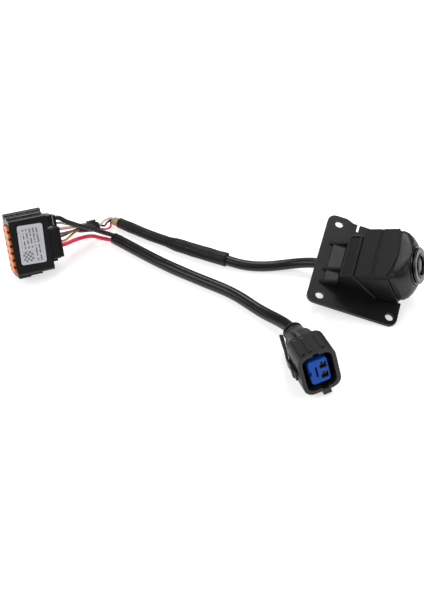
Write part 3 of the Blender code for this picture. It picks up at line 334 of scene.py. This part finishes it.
def make_label():
    """Grey stock with short bars in rows and a check patch."""
    material, tree, shader = start_material("label_grey", specular_ior_level=0.4)
    place = put(tree, "TexCoord").outputs["Object"]
    turned = put(tree, "Mapping", {"Vector": place}, vector_type="TEXTURE")
    turned.inputs["Location"].default_value = MODULE_FRAME.translation
    turned.inputs["Rotation"].default_value = MODULE_FRAME.to_euler()
    turned.inputs["Scale"].default_value = (MM, MM, MM)
    axes = put(tree, "SeparateXYZ", {0: turned.outputs[0]})
    x, y = axes.outputs["X"], axes.outputs["Y"]
    row = calc(tree, "DIVIDE", x, ROW_PITCH)
    across = calc(tree, "FRACT", row)
    on_row = calc(tree, "MULTIPLY", calc(tree, "GREATER_THAN", across, BAR_FROM),
                  calc(tree, "LESS_THAN", across, BAR_TO))
    where = put(tree, "CombineXYZ", {
        "X": calc(tree, "FLOOR", row), "Y": calc(tree, "MULTIPLY", y, BREAKS_PER_MM)})
    breaks = put(tree, "TexNoise", {"Vector": where.outputs[0], "Scale": 1.0, "Detail": 1.0})
    bars = calc(tree, "MULTIPLY", on_row,
                calc(tree, "GREATER_THAN", breaks.outputs["Fac"], BREAK_LEVEL))
    area = calc(tree, "ADD", inside(tree, x, y, BAR_BOX), inside(tree, x, y, SIDE_BOX))
    bars = calc(tree, "MULTIPLY", bars, area)
    check = put(tree, "TexChecker", {"Vector": turned.outputs[0], "Scale": CHECK_SCALE})
    patch = calc(tree, "MULTIPLY", check.outputs["Fac"], inside(tree, x, y, CHECK_BOX))
    ink = calc(tree, "MULTIPLY", calc(tree, "ADD", bars, patch), INK_STRENGTH)
    grains = group_node(tree, GRAIN, {"Grain mm": 0.25, "Patch mm": 6.0})
    duller = shade(LABEL_STOCK[:3], LABEL_PATCH_TONE)
    stock = blend_colour(tree, grains.outputs["Patch"], duller, LABEL_STOCK)
    fill(tree, shader.inputs["Base Color"], blend_colour(tree, ink, stock, LABEL_INK))
    fill(tree, shader.inputs["Roughness"],
         remap(tree, grains.outputs["Patch"], 0.0, 1.0, *LABEL_ROUGHNESS))
    bump = put(tree, "Bump", {"Height": grains.outputs["Height"], "Distance": LABEL_GRAIN_DEPTH * MM})
    fill(tree, shader.inputs["Normal"], bump.outputs["Normal"])
    return material


FINISH["label_grey"] = make_label()

# %% [markdown]
# Cords are soft plastic, so they need another recipe: faint rings and waves that follow the run of
# the tube. Each tube stores its distance along the run in an attribute called run, in metres, and
# the materials read that beside the Object coordinates.

# %% Cord finishes
RING_WANDER = 0.8
SOFT_TONES = (0.8, 1.22)


def soft(name, colour, rough, grain, depth, rings=0.0, ring_mm=2.0, swing=0.08, **fixed):
    """Insulation, sleeving or tape; rings is how strongly the bump follows the run."""
    material, tree, shader = start_material(name, **fixed)
    grains = group_node(tree, GRAIN, {"Grain mm": grain, "Patch mm": 5.0})
    run = put(tree, "Attribute", attribute_name="run").outputs["Fac"]
    along = calc(tree, "DIVIDE", run, ring_mm * MM)
    uneven = calc(tree, "MULTIPLY_ADD", grains.outputs["Patch"], RING_WANDER, along)
    wave = calc(tree, "SINE", calc(tree, "MULTIPLY", uneven, 2.0 * math.pi))
    height = calc(tree, "MULTIPLY_ADD", wave, rings, grains.outputs["Height"])
    half_tone = calc(tree, "MULTIPLY", grains.outputs["Tone"], 0.5)
    tone = calc(tree, "MULTIPLY_ADD", grains.outputs["Patch"], 0.5, half_tone)
    fill(tree, shader.inputs["Base Color"],
         blend_colour(tree, tone, *[shade(colour, f) for f in SOFT_TONES]))
    fill(tree, shader.inputs["Roughness"],
         remap(tree, grains.outputs["Patch"], 0.0, 1.0, rough - swing, rough + swing))
    bump = put(tree, "Bump", {"Height": height, "Distance": depth * MM})
    fill(tree, shader.inputs["Normal"], bump.outputs["Normal"])
    return material


SOFT = {
    "sleeve_matte": soft("sleeve_matte", (0.0045, 0.0045, 0.0053), 0.52, 0.5, 0.03, rings=0.15,
                         specular_ior_level=0.34),
    "sleeve_gloss": soft("sleeve_gloss", (0.004, 0.004, 0.005), 0.26, 1.4, 0.012, rings=0.1, ring_mm=7.0,
                         swing=0.04, specular_ior_level=0.4),
    "cable_jacket": soft("cable_jacket", (0.0045, 0.0045, 0.005), 0.36, 0.6, 0.012, specular_ior_level=0.4),
    "vinyl_tape": soft("vinyl_tape", (0.006, 0.006, 0.0065), 0.4, 0.5, 0.03, rings=0.2, ring_mm=1.1),
    "foil_tan": soft("foil_tan", (0.5, 0.36, 0.22), 0.42, 0.7, 0.06, metallic=0.3),
    "wire_black": soft("wire_black", (0.005, 0.005, 0.0055), 0.32, 0.5, 0.008),
    "wire_white": soft("wire_white", (0.75, 0.7, 0.58), 0.42, 0.5, 0.006),
    "wire_pink": soft("wire_pink", (0.74, 0.46, 0.4), 0.42, 0.5, 0.006),
    "wire_brown": soft("wire_brown", (0.2, 0.1, 0.06), 0.42, 0.5, 0.006),
    "wire_grey": soft("wire_grey", (0.1, 0.1, 0.11), 0.42, 0.5, 0.006),
    "wire_orange": soft("wire_orange", (0.78, 0.33, 0.05), 0.42, 0.5, 0.006),
    "wire_red": soft("wire_red", (0.74, 0.012, 0.065), 0.34, 0.5, 0.006),
}
print(len(SOFT), "cord finishes")

# %% [markdown]
# A cord's route is a handful of points in metres, the same as in the CAD source. A Catmull-Rom
# curve goes through all of them, so the tube has no kinks, and a point about every radius keeps
# its bends round.

# %% Route helpers
def smooth_route(points, spacing):
    """Read a smooth curve through the route's points, with a point about every spacing."""
    pts = [Vector(p) for p in points]
    padded = [2 * pts[0] - pts[1]] + pts + [2 * pts[-1] - pts[-2]]
    out = []
    for p0, p1, p2, p3 in zip(padded, padded[1:], padded[2:], padded[3:]):
        steps = max(1, round((p2 - p1).length / spacing))
        for i in range(steps):
            t = i / steps
            a = 2 * p1
            b = (p2 - p0) * t
            c = (2 * p0 - 5 * p1 + 4 * p2 - p3) * t * t
            d = (3 * p1 - p0 - 3 * p2 + p3) * t ** 3
            out.append((a + b + c + d) / 2)
    out.append(pts[-1])
    return out


def relaxed(route, spacing, reach):
    """Average each point with its neighbours until bends shorter than the reach are gone."""
    times = round((reach / spacing) ** 2)
    for _ in range(times):
        inner = [(a + 2 * b + c) / 4 for a, b, c in zip(route, route[1:], route[2:])]
        route = [route[0]] + inner + [route[-1]]
    return route


def extended(points, before, after):
    """Lengthen a route straight on at both ends, in millimetres, to enter its fittings."""
    pts = [Vector(p) for p in points]
    first = pts[0] + (pts[0] - pts[1]).normalized() * before * MM
    last = pts[-1] + (pts[-1] - pts[-2]).normalized() * after * MM
    return ([first] if before else []) + pts + ([last] if after else [])


def run_length(route):
    """The length of a polyline, in metres."""
    return sum((b - a).length for a, b in zip(route, route[1:]))


# %% [markdown]
# A tube could be a curve with a bevel, but then its skin can't be shaped. Here a circle is placed
# at the start and its edge is extruded from station to station, so that each ring can be wider,
# narrower or crinkled. A hollow end is made by turning the last rings inwards, as a cut tube is.

# %% Tube helper
LIP_OUT = 0.3
SHARP_ANGLE = math.radians(40.0)


def stations_along(route, radius_at):
    """A list of (matrix, run, radius) that follows the route without twisting."""
    total = run_length(route)
    side = Vector((0, 0, 1)).cross(route[1] - route[0]).normalized()
    out, run = [], 0.0
    for i, spot in enumerate(route):
        ahead = (route[min(i + 1, len(route) - 1)] - route[max(i - 1, 0)]).normalized()
        side = (side - ahead * side.dot(ahead)).normalized()
        if i:
            run += (spot - route[i - 1]).length
        axes = Matrix((side, ahead.cross(side), ahead)).transposed().to_4x4()
        out.append((Matrix.Translation(spot) @ axes, run, radius_at(run / total)))
    return out


def with_mouth(stations, wall, depth):
    """Turn the tube's last end inwards: a rounded lip, a wall's thickness in, then back down."""
    place, run, radius = stations[-1]
    lip = [(LIP_OUT, wall * 0.3), (LIP_OUT, wall * 0.7), (0.0, wall), (-depth, wall)]
    return stations + [
        (place @ Matrix.Translation((0, 0, out * MM)), run, radius - inward * MM) for out, inward in lip]


def tube(name, stations, sides, finish, skin=None):
    """Extrude a ring from station to station; skin(run, angle) gives extra radius in metres.

    No point goes below the floor, so a tube that lies on it is flattened a little there.
    """
    bm = bmesh.new()
    run_layer = bm.verts.layers.float.new("run")
    place, run, radius = stations[0]
    ring = bmesh.ops.create_circle(bm, segments=sides, radius=radius, matrix=place)["verts"]
    rings = [(ring, place, run)]
    edges = list(bm.edges)
    before = place @ Matrix.Scale(radius, 4)
    for place, run, radius in stations[1:]:
        made = bmesh.ops.extrude_edge_only(bm, edges=edges)["geom"]
        ring = [g for g in made if isinstance(g, bmesh.types.BMVert)]
        edges = [g for g in made if isinstance(g, bmesh.types.BMEdge)]
        now = place @ Matrix.Scale(radius, 4)
        bmesh.ops.transform(bm, matrix=now @ before.inverted(), verts=ring)
        rings.append((ring, place, run))
        before = now
    for ring, place, run in rings:
        back = place.inverted()
        for vert in ring:
            vert[run_layer] = run
            if skin:
                spot = back @ vert.co
                angle = math.atan2(spot.y, spot.x)
                out = Vector((math.cos(angle), math.sin(angle), 0.0)) * skin(run, angle)
                vert.co = place @ (spot + out)
            vert.co.z = max(vert.co.z, 0.0)
    bmesh.ops.holes_fill(bm, edges=[e for e in bm.edges if e.is_boundary], sides=0)
    bmesh.ops.recalc_face_normals(bm, faces=bm.faces)
    return finished(name, bm, SOFT[finish])


def finished(name, bm, material, smooth=True):
    """Turn a bmesh into a piece that sits at the origin, with smooth faces and one material."""
    mesh = bpy.data.meshes.new(name)
    bm.to_mesh(mesh)
    bm.free()
    if smooth:
        mesh.shade_smooth()
        mesh.set_sharp_from_angle(angle=SHARP_ANGLE)
    mesh.materials.append(material)
    piece = bpy.data.objects.new(name, mesh)
    bpy.context.scene.collection.objects.link(piece)
    print(name, len(mesh.vertices), "points")
    return piece


# %% [markdown]
# The camera's cable is a round moulded jacket. It starts square to the gland, falls to the table
# over its own bend radius and ends inside the matte sleeve. Its end is pushed a little way into
# both, so that no gap shows where the CAD keeps its clearance.

# %% Camera cable
CABLE_ROUTE = [
    (0.0585, 0.0078, 0.0075), (0.0535, 0.0093, 0.0071), (0.0482, 0.0108, 0.0057),
    (0.0416, 0.0118, 0.004), (0.0329, 0.0113, 0.0029), (0.0242, 0.0109, 0.0027),
    (0.015, 0.0125, 0.00275), (0.0083, 0.015, 0.0035)]
CABLE_R = 2.65 * MM
CORD_SIDES = 40
RELAX_RADII = 2.2
SPACING_RADII = 0.6


def lay_cord(name, node, points, ends, radius_at, sides, finish, skin=None, mouths=(0, 0),
             wall=0.5):
    """Make one cord's tube, let it stand for its CAD solid, and return it with its centre line."""
    widest = max(radius_at(0.0), radius_at(1.0))
    spacing = widest * SPACING_RADII
    route = relaxed(smooth_route(extended(points, *ends), spacing), spacing, widest * RELAX_RADII)
    stations = stations_along(route, radius_at)
    if mouths[1]:
        stations = with_mouth(stations, wall, mouths[1])
    if mouths[0]:
        flipped = [(p @ Matrix.Rotation(math.pi, 4, "X"), r, w) for p, r, w in reversed(stations)]
        stations = with_mouth(flipped, wall, mouths[0])
    piece = tube(name, stations, sides, finish, skin)
    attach(piece, KIT)
    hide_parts(node)
    return piece, route


cable, cable_line = lay_cord("cable_jacket", "camera_cable", CABLE_ROUTE, (0.8, 6.0),
                             lambda s: CABLE_R, 36, "cable_jacket")
print("camera cable", round(run_length(cable_line), 4), "m")

# %% [markdown]
# The matte sleeve is heat-shrink tube. It is tight over the first half and then swells over the
# joint inside it, so its radius follows a line graph. Slow noise gives the lumps that the wires
# inside press out, and finer noise keeps its skin from looking turned on a lathe.

# %% Heat-shrink sleeve
SLEEVE_ROUTE = [
    (-0.0491, 0.0451, 0.003), (-0.0432, 0.0413, 0.003), (-0.035, 0.0363, 0.003),
    (-0.0268, 0.0318, 0.003), (-0.0204, 0.0284, 0.0031), (-0.0172, 0.0267, 0.0034),
    (-0.0109, 0.0234, 0.00375), (-0.003, 0.0197, 0.00375), (0.0021, 0.0175, 0.00375),
    (0.008, 0.0151, 0.00375)]
SHRINK_R = 2.8 * MM
SHRINK_WIDTHS = [(0.0, 1.0), (0.46, 1.0), (0.56, 1.25), (1.0, 1.3)]


def width_at(widths, share):
    """Read a list of (share, factor) pairs as a line graph with soft corners."""
    for (s0, f0), (s1, f1) in zip(widths, widths[1:]):
        if share <= s1:
            t = (share - s0) / (s1 - s0)
            return f0 + (f1 - f0) * t * t * (3 - 2 * t)
    return widths[-1][1]


def lumps(seed, size_mm, height_mm):
    """A skin function: slow noise round and along the tube."""
    def skin(run, angle):
        spot = Vector((math.cos(angle) * 1.2, math.sin(angle) * 1.2, run / (size_mm * MM)))
        return noise.noise(spot + Vector((seed, 0.0, 0.0))) * height_mm * MM
    return skin


def shrunk_skin(run, angle):
    """Slow lumps and finer ones together."""
    slow = lumps(3.0, 6.0, 0.26)(run, angle)
    fine = lumps(9.0, 1.6, 0.07)(run, angle)
    return slow + fine


shrink, shrink_line = lay_cord(
    "shrink_sleeve", "camera_sleeve", SLEEVE_ROUTE, (0, 0),
    lambda s: SHRINK_R * width_at(SHRINK_WIDTHS, s), CORD_SIDES, "sleeve_matte",
    skin=shrunk_skin, mouths=(0, 5.0), wall=0.55)
print("shrink sleeve", round(run_length(shrink_line), 4), "m")

# %% [markdown]
# The power leads run in a glossy vinyl tube. Vinyl is soft enough to dent slightly where it was
# coiled in its bag, so very low waves run along it and break up the long highlight. Its near end
# is open and shows the two wires going in.

# %% Vinyl sleeve
POWER_ROUTE = [
    (-0.051, 0.0324, 0.00305), (-0.0423, 0.026, 0.00305), (-0.0315, 0.0177, 0.00305),
    (-0.0214, 0.0106, 0.00305), (-0.0126, 0.0051, 0.00305), (-0.0045, 0.0004, 0.00305),
    (0.0111, -0.0089, 0.00305), (0.0176, -0.0148, 0.00305), (0.0242, -0.0213, 0.00315),
    (0.031, -0.0272, 0.0041), (0.03774, -0.03411, 0.006), (0.03899, -0.0383, 0.00705)]
VINYL_R = 3.0 * MM
vinyl, vinyl_line = lay_cord(
    "vinyl_sleeve", "power_sleeve", POWER_ROUTE, (0, 0.4), lambda s: VINYL_R, CORD_SIDES,
    "sleeve_gloss", skin=lumps(5.0, 9.0, 0.1), mouths=(6.0, 0), wall=0.55)
print("vinyl sleeve", round(run_length(vinyl_line), 4), "m")

# %% [markdown]
# Two power wires leave the harness plug, cross in front of the tape and enter the vinyl sleeve.

# %% Wires
BLACK_ROUTE = [
    (-0.07929, 0.0255, 0.02308), (-0.07728, 0.02639, 0.0229), (-0.0749, 0.026, 0.0205),
    (-0.0717, 0.0261, 0.0192), (-0.0688, 0.0269, 0.0169), (-0.0646, 0.0291, 0.0136),
    (-0.061, 0.0307, 0.0107), (-0.0568, 0.0332, 0.0066), (-0.053, 0.0343, 0.0041),
    (-0.05059, 0.03346, 0.0039)]
RED_ROUTE = [
    (-0.0757, 0.0154, 0.01363), (-0.07369, 0.01628, 0.01345), (-0.071, 0.0192, 0.0129),
    (-0.0666, 0.0234, 0.0114), (-0.0619, 0.0282, 0.0084), (-0.0574, 0.0314, 0.0039),
    (-0.0546, 0.0326, 0.0022), (-0.05189, 0.03169, 0.0023)]
BLACK_R = 1.2 * MM
RED_R = 1.05 * MM
WIRE_SIDES = 20
IN_PLUG = 0.35
IN_SLEEVE = 4.0
IN_TAPE = 1.6
IN_COLLAR = 1.2


def round_wire(radius):
    """The same radius all along."""
    return lambda share: radius


for name, route, radius, finish in (("black_wire", BLACK_ROUTE, BLACK_R, "wire_black"),
                                    ("red_wire", RED_ROUTE, RED_R, "wire_red")):
    wire, line = lay_cord("power_" + name, name, route, (IN_PLUG, IN_SLEEVE), round_wire(radius),
                          WIRE_SIDES, finish)
    print(name, round(run_length(line), 4), "m")

# %% Signal wires and leads
SHORT_WIRES = {
    "white_wire": (0.65, "wire_white", (IN_PLUG, IN_TAPE), [
        (-0.07954, 0.02531, 0.01942), (-0.07754, 0.0262, 0.01924), (-0.07034, 0.02974, 0.01414),
        (-0.06917, 0.03064, 0.01351)]),
    "pink_wire_1": (0.6, "wire_pink", (IN_PLUG, IN_TAPE), [
        (-0.07697, 0.0198, 0.02091), (-0.07497, 0.02068, 0.02073), (-0.06942, 0.02855, 0.01414),
        (-0.06826, 0.02945, 0.01351)]),
    "pink_wire_2": (0.6, "wire_pink", (IN_PLUG, IN_TAPE), [
        (-0.07784, 0.02131, 0.01874), (-0.07583, 0.02219, 0.01855), (-0.07123, 0.03, 0.01285),
        (-0.07006, 0.03089, 0.01222)]),
    "brown_wire": (0.6, "wire_brown", (IN_PLUG, IN_TAPE), [
        (-0.07651, 0.01826, 0.01861), (-0.0745, 0.01915, 0.01843), (-0.06934, 0.02767, 0.01304),
        (-0.06817, 0.02857, 0.01241)]),
    "grey_wire": (0.6, "wire_grey", (IN_PLUG, IN_TAPE), [
        (-0.07706, 0.01902, 0.01622), (-0.07505, 0.0199, 0.01604), (-0.07111, 0.02903, 0.01171),
        (-0.06994, 0.02993, 0.01108)]),
    "orange_wire": (0.6, "wire_orange", (IN_PLUG, IN_TAPE), [
        (-0.0762, 0.0168, 0.01496), (-0.07419, 0.01769, 0.01477), (-0.07016, 0.02787, 0.0118),
        (-0.06899, 0.02877, 0.01117)]),
    "cream_wire": (0.7, "wire_white", (IN_TAPE, IN_COLLAR), [
        (-0.05932, 0.0362, 0.00933), (-0.05808, 0.03708, 0.00886), (-0.057, 0.0412, 0.0076),
        (-0.0553, 0.0454, 0.0056), (-0.05345, 0.04801, 0.0038), (-0.0521, 0.04715, 0.0038)]),
    "lead_wire_black": (0.55, "wire_black", (IN_TAPE, IN_COLLAR), [
        (-0.06056, 0.03717, 0.0079), (-0.05931, 0.03805, 0.00742), (-0.0564, 0.0393, 0.0059),
        (-0.0558, 0.0446, 0.0036), (-0.05287, 0.04892, 0.00239), (-0.05152, 0.04806, 0.00239)]),
    "lead_wire_red": (0.5, "wire_red", (IN_TAPE, IN_COLLAR), [
        (-0.05967, 0.03544, 0.00704), (-0.05842, 0.03632, 0.00656), (-0.056, 0.0382, 0.0044),
        (-0.0537, 0.0424, 0.0025), (-0.05406, 0.04704, 0.002), (-0.05271, 0.04618, 0.002)]),
}
for name, (radius, finish, ends, route) in SHORT_WIRES.items():
    lay_cord("signal_" + name, name, route, ends, round_wire(radius * MM), WIRE_SIDES, finish)

# %% [markdown]
# Vinyl tape is wound round the bundle in overlapping turns. Each turn's edge stands one tape
# thickness above the last, which a saw-tooth of the angle and the run gives: the step winds round
# the tube like a screw thread. Noise lets the turns wrinkle.

# %% Tape wrap
TAPE_ROUTE = [(-0.0689, 0.0299, 0.0122), (-0.0663, 0.0319, 0.0108), (-0.0634, 0.0336, 0.0095),
              (-0.06, 0.036, 0.0082)]
TAPE_R = 2.4 * MM
TAPE_PITCH = 3.4 * MM
TAPE_STEP = 0.2 * MM
TAPE_WIDTHS = [(0.0, 0.95), (0.5, 1.0), (1.0, 1.1)]
TAPE_SIDES = 48


def tape_skin(run, angle):
    """A screw-thread step for the overlaps, with wrinkles."""
    turn = (run / TAPE_PITCH + angle / (2 * math.pi)) % 1.0
    return TAPE_STEP * (turn - 0.5) + lumps(2.0, 2.2, 0.16)(run, angle)


lay_cord("wound_tape", "tape_wrap", TAPE_ROUTE, (0, 0), lambda s: TAPE_R * width_at(TAPE_WIDTHS, s),
         TAPE_SIDES, "vinyl_tape", skin=tape_skin, mouths=(2.0, 2.0), wall=0.3)

# %% [markdown]
# The tape's loose end lifts off the bundle. It starts as a flat grid, is curled away from the
# tube and torn unevenly along its short edge, and then gets the tape's thickness.

# %% Lifted tape end
FLAG_ROOT = Vector((-0.0646, 0.0328, 0.0117))
FLAG_ALONG = Vector((0.86, 0.42, -0.12)).normalized()
FLAG_ACROSS = Vector((-0.3, 0.66, 0.66)).normalized()
FLAG_LENGTH = 5.4 * MM
FLAG_WIDTH = 4.6 * MM
FLAG_TEAR = 0.3
FLAG_LIFT = 0.5 * MM
FLAG_HUG = 3.0 * MM
TAPE_THICKNESS = 0.15 * MM


def make_tape_flag():
    """A grid that hugs the bundle at its root and lifts off towards its torn edge."""
    bm = bmesh.new()
    run_layer = bm.verts.layers.float.new("run")
    bmesh.ops.create_grid(bm, x_segments=12, y_segments=12, size=0.5)
    lift = FLAG_ALONG.cross(FLAG_ACROSS).normalized()
    for vert in bm.verts:
        u, v = vert.co.x + 0.5, vert.co.y
        torn = 1.0 + FLAG_TEAR * noise.noise(Vector((v * 6.0, 1.5, 0.0)))
        curl = FLAG_LIFT * u * u - FLAG_HUG * v * v * (1.0 - 0.8 * u)
        vert[run_layer] = u * FLAG_LENGTH
        flat = FLAG_ALONG * u * torn * FLAG_LENGTH + FLAG_ACROSS * v * FLAG_WIDTH
        vert.co = FLAG_ROOT + flat + lift * curl
    bmesh.ops.recalc_face_normals(bm, faces=bm.faces)
    bmesh.ops.solidify(bm, geom=bm.faces[:], thickness=TAPE_THICKNESS)
    return finished("tape_loose_end", bm, SOFT["vinyl_tape"])


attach(make_tape_flag(), KIT)

# %% [markdown]
# The tan collar is a turn of stiff foil tape. Its skin is folded by hand, so sharp noise dents it
# much deeper than the vinyl, and its near end is open over the leads.

# %% Foil collar
COLLAR_ROUTE = [(-0.0519, 0.0469, 0.0026), (-0.0508, 0.0462, 0.0026), (-0.04937, 0.0453, 0.0028)]
COLLAR_R = 2.3 * MM
FOLD_PITCH = 1.6 * MM
FOLD_ROUND = 1.9
FOLD_RISE, FOLD_DENT = 0.12 * MM, 0.6 * MM


def foil_skin(run, angle):
    """Sharp folds: noise folded at zero makes creases."""
    spot = Vector((math.cos(angle) * FOLD_ROUND, math.sin(angle) * FOLD_ROUND, run / FOLD_PITCH))
    return FOLD_RISE - FOLD_DENT * abs(noise.noise(spot))


lay_cord("foil_wrap", "foil_collar", COLLAR_ROUTE, (0, 0), round_wire(COLLAR_R), CORD_SIDES,
         "foil_tan", skin=foil_skin, mouths=(1.2, 0), wall=0.3)

# %% [markdown]
# The other solids keep their CAD shapes. Each imported solid already carries a material named
# after its slot in the record, so the finish of the same name takes its place.

# %% Dress the CAD solids
def dress(node, solid):
    """Give a CAD solid the finish that its slot names."""
    slot = solid.data.materials[0].name.split(".")[0]
    finish = FINISH.get(slot) or SOFT.get(slot)
    solid.data.materials[0] = finish
    return slot


dressed = {node: dress(node, solid) for node, solid in NODES.items()}
print(len(dressed), "solids in", len(set(dressed.values())), "finishes")

# %% [markdown]
# Light must not shine through the grooves between the camera's pads, because on the real camera a
# dark shell lies just under them. A straight liner fills the first groove. The front groove is an
# arc, so a small cross-section is spun about the arc's own centre.

# %% Groove liners
PAD_HALF = 14.25 * MM
LINER_DEPTH = (-1.75 * MM, -0.55 * MM)
REAR_GROOVE = (8.5 * MM, 10.1 * MM)
FRONT_GROOVE = (19.3 * MM, 20.9 * MM)
ARC_RADIUS = 35.0 * MM
ARC_SHIFT = 0.3 * MM
ARC_STEPS = 20


def box_matrix(low, high):
    """The matrix that turns a unit cube into the box between two corners."""
    low, high = Vector(low), Vector(high)
    return Matrix.Translation((low + high) / 2) @ Matrix.Diagonal((*(high - low), 1.0))


def make_rear_liner():
    """A straight bar under the groove between the shell and the rear pad."""
    bm = bmesh.new()
    low = (REAR_GROOVE[0], -PAD_HALF, LINER_DEPTH[0])
    high = (REAR_GROOVE[1], PAD_HALF, LINER_DEPTH[1])
    bmesh.ops.create_cube(bm, size=1.0, matrix=BODY_FRAME @ box_matrix(low, high))
    return finished("rear_groove_liner", bm, FINISH["plate_black"], smooth=False)


def make_front_liner():
    """A cross-section under the curved groove, spun about the groove's own centre."""
    bm = bmesh.new()
    (near, far), (bottom, top) = FRONT_GROOVE, LINER_DEPTH
    centre = Vector((near + ARC_SHIFT - ARC_RADIUS, 0.0, 0.0))
    half_turn = math.asin(PAD_HALF / ARC_RADIUS)
    upright = Matrix.Rotation(math.pi / 2, 4, "X")
    section = Matrix.Translation(((near + far) / 2, 0.0, (bottom + top) / 2)) @ upright
    section = section @ Matrix.Diagonal((far - near, top - bottom, 1.0, 1.0))
    bmesh.ops.create_grid(bm, x_segments=1, y_segments=1, size=0.5, matrix=section)
    bmesh.ops.rotate(bm, verts=bm.verts, cent=centre, matrix=Matrix.Rotation(-half_turn, 3, "Z"))
    bmesh.ops.spin(bm, geom=bm.verts[:] + bm.edges[:] + bm.faces[:], cent=centre, axis=(0, 0, 1),
                   angle=2 * half_turn, steps=ARC_STEPS)
    bmesh.ops.holes_fill(bm, edges=[e for e in bm.edges if e.is_boundary], sides=4)
    bmesh.ops.recalc_face_normals(bm, faces=bm.faces)
    bmesh.ops.transform(bm, matrix=BODY_FRAME, verts=bm.verts)
    return finished("front_groove_liner", bm, FINISH["plate_black"])


for liner in (make_rear_liner(), make_front_liner()):
    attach(liner, KIT)

# %% [markdown]
# Behind each notch of the orange retainer the real module has a terminal hollow in shade. A small
# black block in every notch is painted shade for it, and rides with the retainer when it slides.

# %% Painted shade in the notches
NOTCH_COUNT = 6
NOTCH_PITCH = 3.6
NOTCH_MIDDLE = -13.8
NOTCH_SIDES = ((-12.1, -10.9), (-3.1, -1.9))
NOTCH_RUN = (-0.95, 1.7)
NOTCH_HALF = 0.66


def make_notch_painted_shade():
    """One block of painted shade in every notch, on both long sides."""
    bm = bmesh.new()
    for i in range(NOTCH_COUNT):
        y = NOTCH_MIDDLE + (i - (NOTCH_COUNT - 1) / 2) * NOTCH_PITCH
        for back, front in NOTCH_SIDES:
            low = Vector((NOTCH_RUN[0], y - NOTCH_HALF, back)) * MM
            high = Vector((NOTCH_RUN[1], y + NOTCH_HALF, front)) * MM
            bmesh.ops.create_cube(bm, size=1.0, matrix=MODULE_FRAME @ box_matrix(low, high))
    # The black finish here is painted shade: it stands for the dark of each hollow.
    return finished("notch_painted_shade", bm, FINISH["chip_black"], smooth=False)


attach(make_notch_painted_shade(), "module_retainer")

# %% [markdown]
# The two sockets of the blue retainer are deep, so they look black. A black liner inside each is
# painted shade: it hides the bright blue walls and leaves the bronze terminal showing.

# %% Socket liners of painted shade
SOCKET_HEIGHTS = (-2.8, 2.8)
SOCKET_MIDDLE = 2.2
SOCKET_HALF = 1.66
SOCKET_RUN = (27.9, 33.15)
SHADE_LINER_WALL = 0.12
FACING = 0.9


def make_socket_painted_shade():
    """Two thin square sleeves of painted shade, open at both ends."""
    bm = bmesh.new()
    for height in SOCKET_HEIGHTS:
        low = Vector((SOCKET_RUN[0], SOCKET_MIDDLE - SOCKET_HALF, height - SOCKET_HALF)) * MM
        high = Vector((SOCKET_RUN[1], SOCKET_MIDDLE + SOCKET_HALF, height + SOCKET_HALF)) * MM
        made = bmesh.ops.create_cube(bm, size=1.0, matrix=box_matrix(low, high))
        faces = {face for vert in made["verts"] for face in vert.link_faces}
        ends = [face for face in faces if abs(face.normal.x) > FACING]
        bmesh.ops.delete(bm, geom=ends, context="FACES_ONLY")
    bmesh.ops.recalc_face_normals(bm, faces=bm.faces)
    bmesh.ops.solidify(bm, geom=bm.faces[:], thickness=SHADE_LINER_WALL * MM)
    bmesh.ops.transform(bm, matrix=PLUG_FRAME, verts=bm.verts)
    # The black finish here is painted shade over the socket walls, which are really blue.
    return finished("socket_painted_shade", bm, FINISH["chip_black"], smooth=False)


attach(make_socket_painted_shade(), "blue_retainer")

# %% [markdown]
# The studio is a pale floor under broad, soft lights. Black plastic shows its shape only by what
# it mirrors, so one wide light above and behind draws the long highlights, a second at the front
# left fills the faces, and the pale world keeps the shadows open.

# %% Studio
FLOOR_HALF = 3.0
FLOOR_GLOW = 0.58
FLOOR_TONES = (0.88, 0.9)
FLOOR_ROUGHNESS = (0.75, 0.85)
SKY_STRENGTH = 0.3
WHITE = (1.0, 1.0, 1.0, 1.0)
LIGHTS = {  # name: (place, size in metres, power in watts)
    "light_top": ((0.1, 0.45, 0.75), 0.4, 3.6),
    "light_front": ((-0.45, -0.35, 0.55), 0.5, 2.0),
    "light_side": ((0.6, -0.15, 0.45), 0.3, 0.8),
}


def soft_light(name, spot, size, power):
    data = bpy.data.lights.new(name, "AREA")
    data.size = size
    data.energy = power
    light = bpy.data.objects.new(name, data)
    bpy.context.scene.collection.objects.link(light)
    light.location = spot
    light.rotation_euler = (-Vector(spot)).to_track_quat("-Z", "Y").to_euler()
    return light


def make_floor():
    """A large sheet of white paper that glows a little, so that it stays white in the picture."""
    bm = bmesh.new()
    bmesh.ops.create_grid(bm, x_segments=1, y_segments=1, size=FLOOR_HALF)
    material, tree, shader = start_material(
        "floor_paper", specular_ior_level=0.2, emission_color=WHITE, emission_strength=FLOOR_GLOW)
    grains = group_node(tree, GRAIN, {"Grain mm": 3.0, "Patch mm": 60.0})
    fill(tree, shader.inputs["Base Color"],
         blend_colour(tree, grains.outputs["Patch"], *[shade(WHITE[:3], t) for t in FLOOR_TONES]))
    fill(tree, shader.inputs["Roughness"],
         remap(tree, grains.outputs["Patch"], 0.0, 1.0, *FLOOR_ROUGHNESS))
    return finished("floor", bm, material, smooth=False)


floor = make_floor()
for name, (spot, size, power) in LIGHTS.items():
    soft_light(name, spot, size, power)
world = bpy.data.worlds.new("studio_air")
world.use_nodes = True
air = world.node_tree.nodes["Background"].inputs
air["Color"].default_value = WHITE
air["Strength"].default_value = SKY_STRENGTH
bpy.context.scene.world = world
bpy.context.scene.view_settings.view_transform = "Standard"
print("studio ready")
